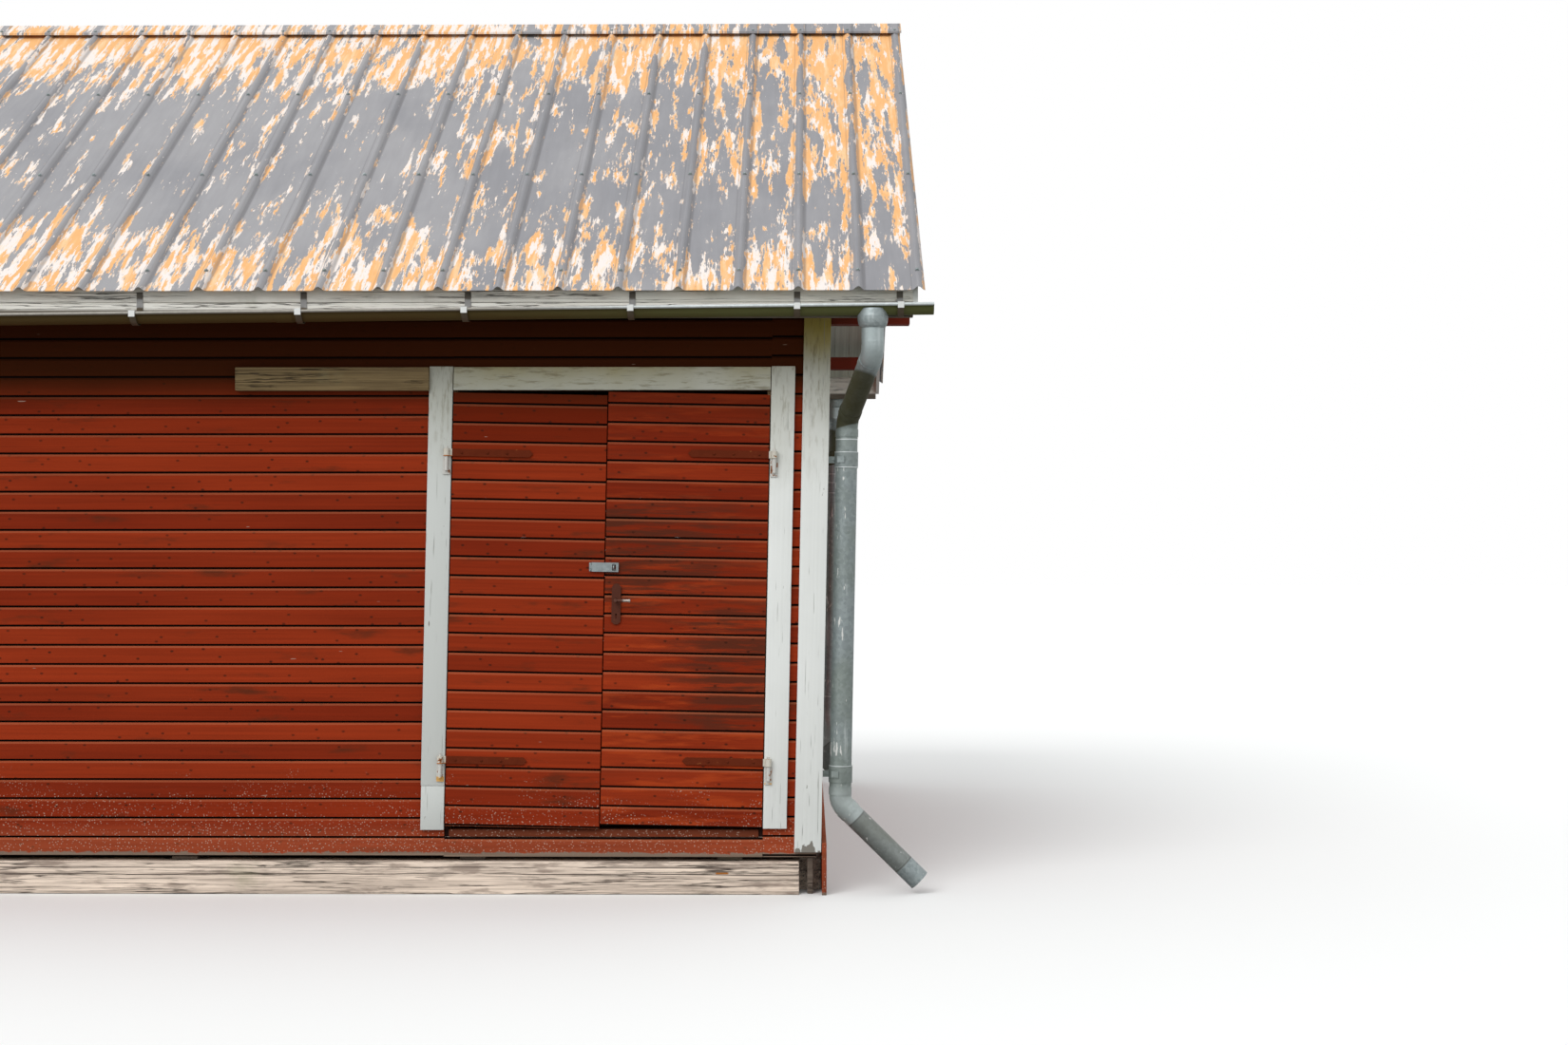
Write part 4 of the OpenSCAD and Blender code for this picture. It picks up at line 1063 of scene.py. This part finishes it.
def roof_paint(name, less=0.0, whiter=0.0, less_right=0.0):
    paint = Finish(name, roughness=0.62, gloss=0.3)
    down = abs(paint.y) / math.cos(PITCH)
    rear = (paint.y > 0.0) * 7.3
    west = paint.x.rise(2.9, 2.3)
    flakes = paint.noise((paint.x * 16, down * 2.3, rear), 9.0, 0.66, 0.25)
    ragged = paint.noise((paint.x * 90, down * 13, rear), 5.0, 0.62)
    fields = paint.noise((paint.x * 1.7, down * 0.9, rear), 3.0, 0.5)
    rib = (paint.x - FIRST_RIB) / RIB_PITCH
    beside_rib = rib - (rib + 0.5).floor()
    off = abs(beside_rib)
    reach = paint.noise((paint.x * 8.5, down * 0.7, rear + 2), 5.0, 0.62) * 1.8 - 0.9
    loss = (down + reach).rise(1.25, 0.20) * (0.122 + west * 0.018)
    loss = loss + down.rise(2.3, 3.1) * (0.066 + west * 0.020)
    loss = loss + west * 0.006 + off.rise(0.28, 0.14) * 0.035 - off.rise(0.085, 0.05) * 0.105
    loss = loss + (fields - 0.5) * 0.30 - less
    if less_right:
        loss = loss - paint.x.rise(0.8, 3.2) * less_right
    bays = paint.x.rise(1.9, 2.9) * down.rise(0.8, 1.3) * down.rise(2.5, 1.9)
    worn = flakes * 0.76 + ragged * 0.24 + loss + bays * 0.085
    bare = worn.rise(0.570, 0.577)
    deep = paint.noise((paint.x * 26, down * 3.4, rear + 3), 7.0, 0.64)
    rim = worn.rise(0.592, 0.584) * ragged.rise(0.47, 0.55)
    whiter = down.rise(2.2, 2.9) * 0.012 - down.rise(1.15, 0.4) * 0.024 + whiter + 0.014
    side = paint.x.rise(1.8, 0.8) * 0.034 - paint.x.rise(2.3, 2.9) * 0.024
    gone = (deep + whiter + side * down.rise(2.7, 2.2)).rise(0.528, 0.540)
    primed = rim.most(gone) * bare
    fine = paint.noise((paint.x * 30, down * 3, rear), 5.0, 0.6)
    soft = paint.noise((paint.x * 2.4, down * 1.3, rear + 5), 4.0)
    faded = (soft * 1.4 - 0.4 + paint.x.rise(2.2, 0.4) * 0.3).rise(0.1, 0.8)
    grey = paint.dim(paint.mix(ROOF_GREY, (0.315, 0.308, 0.318), faded), 0.86 + fine * 0.28)
    orange = paint.mix(UNDERCOAT, (0.84, 0.56, 0.32), fine.rise(0.45, 0.7))
    white = paint.mix(PRIMER, (0.80, 0.62, 0.47), ragged.rise(0.50, 0.62) * 0.7)
    paint.colour = paint.mix(grey, paint.dim(orange, 0.86 + ragged * 0.26), bare)
    paint.coat(paint.dim(white, 0.88 + ragged * 0.22), primed)
    nick = paint.noise((paint.x * 60, down * 17, rear + 9), 2.0, 0.5)
    paint.coat(PRIMER, nick.rise(0.735, 0.745) * 0.9)
    # Dirt and painted shade: a dark band right of each rib, and painted shade lines on both flanks.
    dirt_and_shade = beside_rib.rise(0.045, 0.095) * beside_rib.rise(0.150, 0.110)
    shade = off.rise(0.13, 0.11) * off.rise(0.085, 0.105)
    paint.coat((0.11, 0.105, 0.11), dirt_and_shade.most(shade * 0.6) * (0.35 + fine * 0.35))
    return paint.done(0.56 + bare * 0.18, fine * 0.25 - bare * 0.5 - primed * 0.3, 0.0006)


ROOF = roof_paint("flaking_roof_paint")
CAP = roof_paint("flaking_cap_paint", 0.035, 0.035, 0.060)
paint_solids(ROOF, "front_roof_sheet", "rear_roof_sheet")
paint_solids(CAP, "ridge_cap")
print("ribs every", RIB_PITCH, "m from", FIRST_RIB)

# %% [markdown]
# ## Roof screws
# Each rib is screwed down in three rows, and the cap once at every rib. A screw is a small washer
# with a domed head, a few dozen faces, because there are hundreds. One is modelled upright, turned
# to the slope and copied along the ribs.


# %% Roof screws
def screw(name, radius=0.0085, head=0.005):
    bpy.ops.object.select_all(action="DESELECT")
    bpy.ops.mesh.primitive_cylinder_add(vertices=10, radius=radius, depth=0.003, location=(0, 0, 0.0005))
    obj = bpy.context.object
    obj.name = name
    pick(obj, lambda centre, normal: normal.z > 0.9)
    bpy.ops.mesh.inset(thickness=radius * 0.35, depth=0)
    bpy.ops.mesh.extrude_region_move(TRANSFORM_OT_translate={"value": (0, 0, head * 0.7)})
    bpy.ops.mesh.inset(thickness=radius * 0.22, depth=head * 0.3)
    close()
    return obj


SCREW_ROWS = (0.137, 1.032, 1.918)
RIBS, RIB_HEIGHT, CAP_ROW = 26, 0.0222, 0.088
front_screw = settle(screw("roof_screw", 0.0105, 0.007), (PITCH, 0, 0))
screws = []
cap_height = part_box("ridge_cap")[1].z - CAP_ROW * math.tan(PITCH)
for n in range(RIBS):
    x = FIRST_RIB - n * RIB_PITCH
    for row in SCREW_ROWS:
        foot = Vector((x, -HALF_RUN + row, EAVE_HEIGHT + 0.0004 + row * math.tan(PITCH)))
        rise = RIB_HEIGHT * Vector((0, -math.sin(PITCH), math.cos(PITCH)))
        screws.append(copy_of(front_screw, foot + rise))
    screws.append(copy_of(front_screw, (x, -CAP_ROW, cap_height)))
bpy.data.objects.remove(front_screw)
front_screws = joined("roof_screws_front", screws)
rear_screws = settle(copy_of(front_screws), (0, 0, math.pi))
screw_sets = joined("roof_screws", [front_screws, rear_screws])
print(len(screws) * 2, "screws")

# %% [markdown]
# ## Galvanised steel
# Gutters, funnels and pipes are galvanised sheet. New zinc shows crystal flowers, old zinc goes
# dull blue grey with white bloom. Cells of slightly different tone stand for the flowers. It is only
# partly metallic, because weathered zinc is an oxide skin. The slanting length of a pipe is dark olive
# brown, partly drips from the gutter and partly painted shade, and runs of white paint have dried on
# the upright length. Thin bright lines at the edges of bands and joints are painted highlights.


# %% Galvanised steel
PIPE_MIDDLE = corner_high.x + 0.106 - 0.022 - corner_high.z * SKEW


def zinc(name, tone=1.0, pipe=False, glint_heights=()):
    metal = Finish(name, roughness=0.5, metallic=0.55, gloss=0.2 if pipe else 0.5)
    flowers = metal.node("ShaderNodeTexVoronoi", None, {"Vector": metal.place, "Scale": 70.0}, out="Color")
    flower = metal.node("ShaderNodeSeparateColor", None, {0: flowers})
    cloud = metal.noise(metal.place, 5.0, 0.6, scale=5.0)
    drip = metal.noise((metal.x * 22, metal.y * 22, metal.z * 2.2), 5.0, 0.6)
    dark = (0.27 * tone, 0.315 * tone, 0.32 * tone)
    light = (0.47 * tone, 0.53 * tone, 0.535 * tone)
    metal.colour = metal.mix(dark, light, flower * 0.5 + cloud * 0.5)
    metal.coat((0.66, 0.70, 0.70), drip.rise(0.60, 0.74) * 0.6)
    film = metal.noise(metal.place, 4.0, 0.6, scale=2.3)
    metal.coat((0.17, 0.20, 0.13), film.rise(0.46, 0.70) * 0.30)
    skin = drip.rise(0.55, 0.75) * 0.4
    # Painted highlights: thin bright lines at given heights, on the edges of bands and joints.
    for height in glint_heights:
        metal.coat((0.72, 0.76, 0.76), abs(metal.z - height).rise(0.0032, 0.0016) * 0.8)
    if pipe:
        bend = metal.z + metal.x * 0.33
        slanting = (bend + film * 0.02).rise(3.470, 3.452)
        slanting = slanting * (metal.z - metal.x * 0.25 + film * 0.01).rise(1.407, 1.415)
        neck = bend.rise(3.46, 3.50)
        metal.coat((0.50, 0.57, 0.57), neck * 0.55)
        # Stain and painted shade: the slanting length is made dark olive.
        metal.coat((0.045, 0.041, 0.012), slanting * (0.75 + cloud * 0.4))
        shoe = metal.x - metal.z
        metal.coat((0.56, 0.61, 0.60), metal.z.rise(0.53, 0.47) * shoe.rise(2.796, 2.788) * 0.40)
        lower = shoe.rise(2.788, 2.796) * shoe.rise(3.226, 3.218)
        metal.coat((0.155, 0.150, 0.125), lower * (0.25 + film * 0.55))
        metal.coat((0.09, 0.09, 0.08), abs(shoe - 2.791).least(abs(shoe - 3.221)).rise(0.007, 0.003) * 0.6)
        run = metal.noise((metal.x * 70, metal.y * 70, metal.z * 13), 3.0, 0.5)
        spots = metal.z.rise(2.1, 1.9) * 0.02
        for low, high in ((1.75, 2.00), (1.18, 1.28), (0.65, 0.71)):
            length = metal.z.rise(low - 0.02, low + 0.01) * metal.z.rise(high + 0.02, high - 0.01)
            spots = spots + length * 0.10
        plumb = metal.x - metal.z * SKEW
        spots = (run + spots * plumb.rise(PIPE_MIDDLE + 0.012, PIPE_MIDDLE - 0.004)).rise(0.70, 0.72)
        metal.coat((0.74, 0.74, 0.71), spots * metal.z.rise(2.1, 2.0) * 0.9)
        skin = skin.most(slanting * 0.6)
    return metal.done(0.40 + cloud * 0.25, flower * 0.2 + cloud * 0.3, 0.0005, 0.62 - skin)


ZINC = zinc("galvanised_sheet", 0.9)
ZINC_STRAP = zinc("galvanised_strap", 0.75)
ZINC_PIPE = zinc("galvanised_pipe", 0.78, True, (2.116,))
ZINC_BAND = zinc("galvanised_band", 0.72, False, (2.0575, 1.9860, 0.5965))

# %% [markdown]
# ## Gutters and their brackets
# The trough is covered by a brown green film of algae, but the bead along its rim is washed by rain
# and shines. The gutter falls to the left, so the height of the bead is measured from that slanting
# line. A bracket is bright only where its clip is folded round the bead.


# %% Gutters and brackets
GUTTER_FALL = math.radians(0.6)
RIM_HEIGHT = 2.671


def gutter_zinc():
    metal = Finish("galvanised_gutter", roughness=0.5, metallic=0.5, gloss=0.2)
    cloud = metal.noise((metal.x * 3, metal.y * 12, metal.z * 12), 5.0, 0.6)
    flower = metal.noise(metal.place, 2.0, 0.5, scale=60.0)
    below_rim = metal.z - metal.x * math.tan(GUTTER_FALL) - RIM_HEIGHT
    bead = below_rim.rise(-0.0145, -0.0125)
    bright = metal.mix((0.27, 0.255, 0.225), (0.54, 0.58, 0.58), metal.x.rise(1.4, 2.5))
    film = metal.mix((0.080, 0.050, 0.013), (0.098, 0.104, 0.034), (metal.x * 0.5 + cloud).rise(0.9, 2.1))
    film = metal.mix(film, (0.13, 0.115, 0.060), cloud.rise(0.58, 0.75) * 0.6)
    metal.colour = metal.mix(film, metal.dim(bright, 0.75 + flower * 0.5), bead)
    return metal.done(0.74 - bead * 0.32, cloud, 0.0004, bead * 0.55)


def bracket_iron():
    iron = Finish("gutter_bracket_iron", roughness=0.6, metallic=0.2, gloss=0.3)
    cloud = iron.noise(iron.place, 4.0, 0.6, scale=45.0)
    clip = abs(iron.y).rise(2.8350, 2.8365)
    # The ring below the gutter is dark brown, partly rust and partly painted shade under the trough.
    upper = (iron.z + cloud * 0.01).rise(2.700, 2.708)
    iron.colour = iron.mix((0.105, 0.080, 0.052), (0.34, 0.335, 0.33), upper)
    iron.coat((0.135, 0.120, 0.100), (iron.z + cloud * 0.02).rise(2.742, 2.752))
    iron.colour = iron.mix(iron.dim(iron.colour, 0.7 + cloud * 0.6), (0.72, 0.73, 0.71), clip)
    return iron.done(0.62 - clip * 0.2, cloud, 0.0004)


paint_solids(gutter_zinc(), "front_gutter", "rear_gutter")
paint_solids(bracket_iron(), "gutter_brackets")
paint_solids(ZINC, "gutter_funnels", "hasp_hinge")
paint_solids(ZINC_PIPE, "front_downpipe", "rear_downpipe")
paint_solids(ZINC_BAND, "pipe_brackets")
paint_solids(ZINC_STRAP, "hasp_staple", "hasp")
hand_over(screw_sets, "galvanised_steel", ZINC_STRAP)

# %% [markdown]
# ## Clips of the pipe bands
# Each band round a pipe is closed by a small flat clip on its left front quarter, and its stem is
# held by one bolt. A clip is a thin block that is turned about the pipe and laid on the band.

# %% Clips of the pipe bands
clips = []
for side in (-1, 1):
    for height in (0.558, 2.022):
        middle = Vector((edge + 0.084 + sway(height), side * PIPE_DEPTH, height))
        clip = soften(block("clip", (-0.019, -0.0585, -0.015), (0.019, -0.0545, 0.015)), 0.001)
        clips.append(settle(clip, (0, 0, math.radians(-28 if side < 0 else 208)), middle))
        bolt = settle(screw("stem_bolt", 0.007, 0.006), (math.pi / 2, 0, 0 if side < 0 else math.pi))
        clips.append(settle(bolt, (0, 0, 0), middle + Vector((-0.062, side * 0.0055, 0))))
hand_over(joined("pipe_clips", clips), "galvanised_steel", ZINC)

# %% [markdown]
# ## Ironwork of the doors
# The strap hinges were painted over in red brown long ago. Their eyes and the pintles got white paint
# with the jambs and bleed rust. The lock plate is brown.


# %% Painted iron
def painted_iron(name, paint_colour, rust=0.60, rough=0.55, white_ends=False, gloss=0.3, orange_tip=False):
    iron = Finish(name, roughness=rough, gloss=gloss)
    cloud = iron.noise(iron.place, 5.0, 0.62, scale=26.0)
    fine = iron.noise(iron.place, 3.0, 0.6, scale=140.0)
    spots = cloud * 0.8 + fine * 0.2
    iron.colour = iron.dim(paint_colour, 0.75 + cloud * 0.5)
    if white_ends:
        plumb = iron.x - iron.z * SKEW
        middle, half = (DOOR_LEFT + DOOR_RIGHT) / 2, (DOOR_RIGHT - DOOR_LEFT) / 2
        eyes = abs(plumb - middle).rise(half - 0.001, half + 0.001)
        iron.coat((0.62, 0.59, 0.51), eyes)
        spots = spots + eyes * 0.045
        for height in STRAP_HEIGHTS:
            rim = abs(iron.z + iron.x * SKEW - LEAF_FOOT - height + 0.0165).rise(0.0045, 0.0025)
            iron.coat((0.50, 0.16, 0.035), rim * eyes)
    iron.coat((0.30, 0.105, 0.030), spots.rise(rust, rust + 0.03) * 0.95)
    iron.coat((0.075, 0.030, 0.018), spots.rise(rust + 0.05, rust + 0.10))
    if orange_tip:
        tip = abs(iron.z + iron.x * SKEW - LEAF_FOOT - STRAP_HEIGHTS[0] + 0.100).rise(0.026, 0.018)
        iron.coat((0.66, 0.37, 0.10), tip * cloud.rise(0.35, 0.50))
    relief = cloud * 0.5 - spots.rise(rust, rust + 0.03) * 0.4
    return iron.done(rough + spots.rise(rust, rust + 0.05) * 0.3, relief, 0.0006)


left_foot = leaf_size("left_door_leaf")[2]
right_width, _, right_foot = leaf_size("right_door_leaf")
DOOR_LEFT = left_foot.x - left_foot.z * SKEW
LEAF_FOOT = left_foot.z + left_foot.x * SKEW
STRAP_HEIGHTS = (0.307, 1.735)
right_corner = right_foot + RIGHTWARD * right_width
DOOR_RIGHT = right_corner.x - right_corner.z * SKEW
STRAP_IRON = painted_iron("red_brown_iron", (0.125, 0.022, 0.0085), 0.63, 0.75, True, 0.02)
PINTLE_IRON = painted_iron("white_painted_iron", (0.60, 0.59, 0.55), 0.57, 0.5, orange_tip=True)
PLATE_IRON = painted_iron("brown_painted_iron", (0.085, 0.024, 0.013), 0.62, 0.5, gloss=0.12)
paint_solids(STRAP_IRON, "left_strap_hinges", "right_strap_hinges")
paint_solids(PINTLE_IRON, "hinge_pintles")
paint_solids(PLATE_IRON, "lock_plate")


# %% [markdown]
# ## The lever
# The lever is the one piece that hands touch. Its last few centimetres are rubbed bright, so the mask
# falls with the distance from its tip, broken up by a little noise.


# %% The worn lever
def lever_finish():
    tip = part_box("door_lever")[1].x
    iron = Finish("worn_lever_iron", roughness=0.4, metallic=0.3)
    cloud = iron.noise(iron.place, 4.0, 0.6, scale=60.0)
    rubbed = (iron.x + cloud * 0.02).rise(tip - 0.035, tip - 0.012)
    iron.colour = iron.mix(iron.dim((0.10, 0.036, 0.022), 0.7 + cloud * 0.6), (0.46, 0.42, 0.38), rubbed)
    return iron.done(0.45 - rubbed * 0.12, cloud, 0.0003, 0.1 + rubbed * 0.75)


paint_solids(lever_finish(), "door_lever")


# %% [markdown]
# ## Bolts
# A strap hinge is held by round headed bolts through the leaf, three along each strap, and a pintle
# by screws in its plate. One dome is modelled and set along each strap, in the turned frame of the
# leaf, so that the bolts lie on the middle of the strap.


# %% Strap bolts
def strap_bolts(name, body, foot, near, direction):
    dome = settle(screw("bolt", 0.008, 0.006), (math.pi / 2, 0, 0))
    bolts = []
    strap_face = -TRIM_FACE - 0.006
    for height in STRAP_HEIGHTS:
        for reach in (0.045, 0.165, 0.255):
            place = foot + RIGHTWARD * (near + direction * reach) + UPRIGHT * height
            bolts.append(copy_of(dome, (place.x, strap_face - 0.0005, place.z)))
    bpy.data.objects.remove(dome)
    hand_over(joined(name, bolts), "brown_iron", STRAP_IRON, body=body)


strap_bolts("left_strap_bolts", "left_door", left_foot, 0.0, 1)
strap_bolts("right_strap_bolts", "right_door", right_foot, right_width, -1)

# %% [markdown]
# ## Beams and frame
# Wall plates, purlins and ridge beam run through the end walls: red where they stick out under the
# roof, bare inside. Studs, sill beams and barge boards keep their solid shape; studs and sill beams
# get wood, the barge boards white paint.


# %% Beams that are red outside and bare inside
def beam_finish():
    wood = Finish("beam_red_outside", roughness=0.82)
    fine = grain(wood, "x", 1.2, 60.0)[-1]
    broad = wood.noise(wood.place, 3.0, 0.5, scale=1.7)
    red = wood.dim(wood.mix(RED_DEEP, RED_SHADE, broad.rise(0.35, 0.7)), 0.75 + fine * 0.5)
    pine = wood.mix((0.44, 0.30, 0.165), (0.22, 0.13, 0.07), (fine + broad * 0.5 - 0.3).rise(0.1, 0.8))
    outside = abs(wood.x).rise(2.955, 2.958)
    wood.colour = wood.mix(pine, red, outside)
    return wood.done(0.72 + fine * 0.2, fine, 0.0014)


paint_solids(beam_finish(), "wall_plates", "purlins", "ridge_beam")
paint_solids(GREY_ALONG, "sill_beams")
paint_solids(PINE_UP, "front_frame", "rear_frame", "gable_frames")
paint_solids(WHITE_SLOPE, "barge_boards")

# %% [markdown]
# ## Studio floor
# The floor is plain and pale to the camera, and darker to bounced light, as earth would be. One Light
# Path test chooses between the two greys.


# %% Floor
bpy.ops.object.select_all(action="DESELECT")
bpy.ops.mesh.primitive_plane_add(size=160, location=(0, 0, 0))
floor = bpy.context.object
floor.name = "studio_floor"
ground = Finish("studio_floor", roughness=0.9)
seen = ground.node("ShaderNodeLightPath", out="Is Camera Ray")
ground.colour = ground.mix((0.30, 0.30, 0.29), (0.86, 0.86, 0.85), seen)
floor.data.materials.append(ground.done())

# %% [markdown]
# ## Sky and sun
# A soft overcast sky lights the house evenly, a little stronger from above, with a weak broad sun from
# the front so that ribs and boards keep their shape. For camera, glossy and transmitted rays the sky is
# plain white, so the picture's background and what the zinc mirrors stay clean.

# %% Sky and sun
scene = bpy.context.scene
world = scene.world or bpy.data.worlds.new("studio_sky")
scene.world = world
world.use_nodes = True
world.node_tree.nodes.clear()
air = Graph(world.node_tree)
height = air.split(air.node("ShaderNodeTexCoord", out="Generated"))[2]
level = air.node("ShaderNodeMapRange", None, {0: height, 1: 0.0, 2: 0.9, 3: 0.85, 4: 1.05})
sky = air.node("ShaderNodeBackground", None, {"Color": (0.97, 0.99, 1.0, 1), "Strength": level})
white = air.node("ShaderNodeBackground", None, {"Color": (1, 1, 1, 1)})
camera_ray, glossy_ray, through_ray = (
    air.node("ShaderNodeLightPath", out=f"Is {kind} Ray") for kind in ("Camera", "Glossy", "Transmission")
)
plain = camera_ray.most(glossy_ray).most(through_ray)
chosen = air.node("ShaderNodeMixShader", None, {0: plain, 1: sky, 2: white})
output = air.nodes.new("ShaderNodeOutputWorld")
air.links.new(chosen.socket, output.inputs["Surface"])
bpy.ops.object.light_add(type="SUN", location=(0, -8, 12), rotation=(math.radians(42), math.radians(-32), 0))
sun = bpy.context.object
sun.name = "soft_sun"
sun.data.energy = 1.3
sun.data.angle = math.radians(35)
print("sky of", len(air.nodes), "nodes, sun", round(sun.data.energy, 2))

# %% [markdown]
# ## Last measures
# The view transform is the plain one, so a colour on the page is the colour in the picture.

# %% Finish
scene.view_settings.view_transform = "Standard"
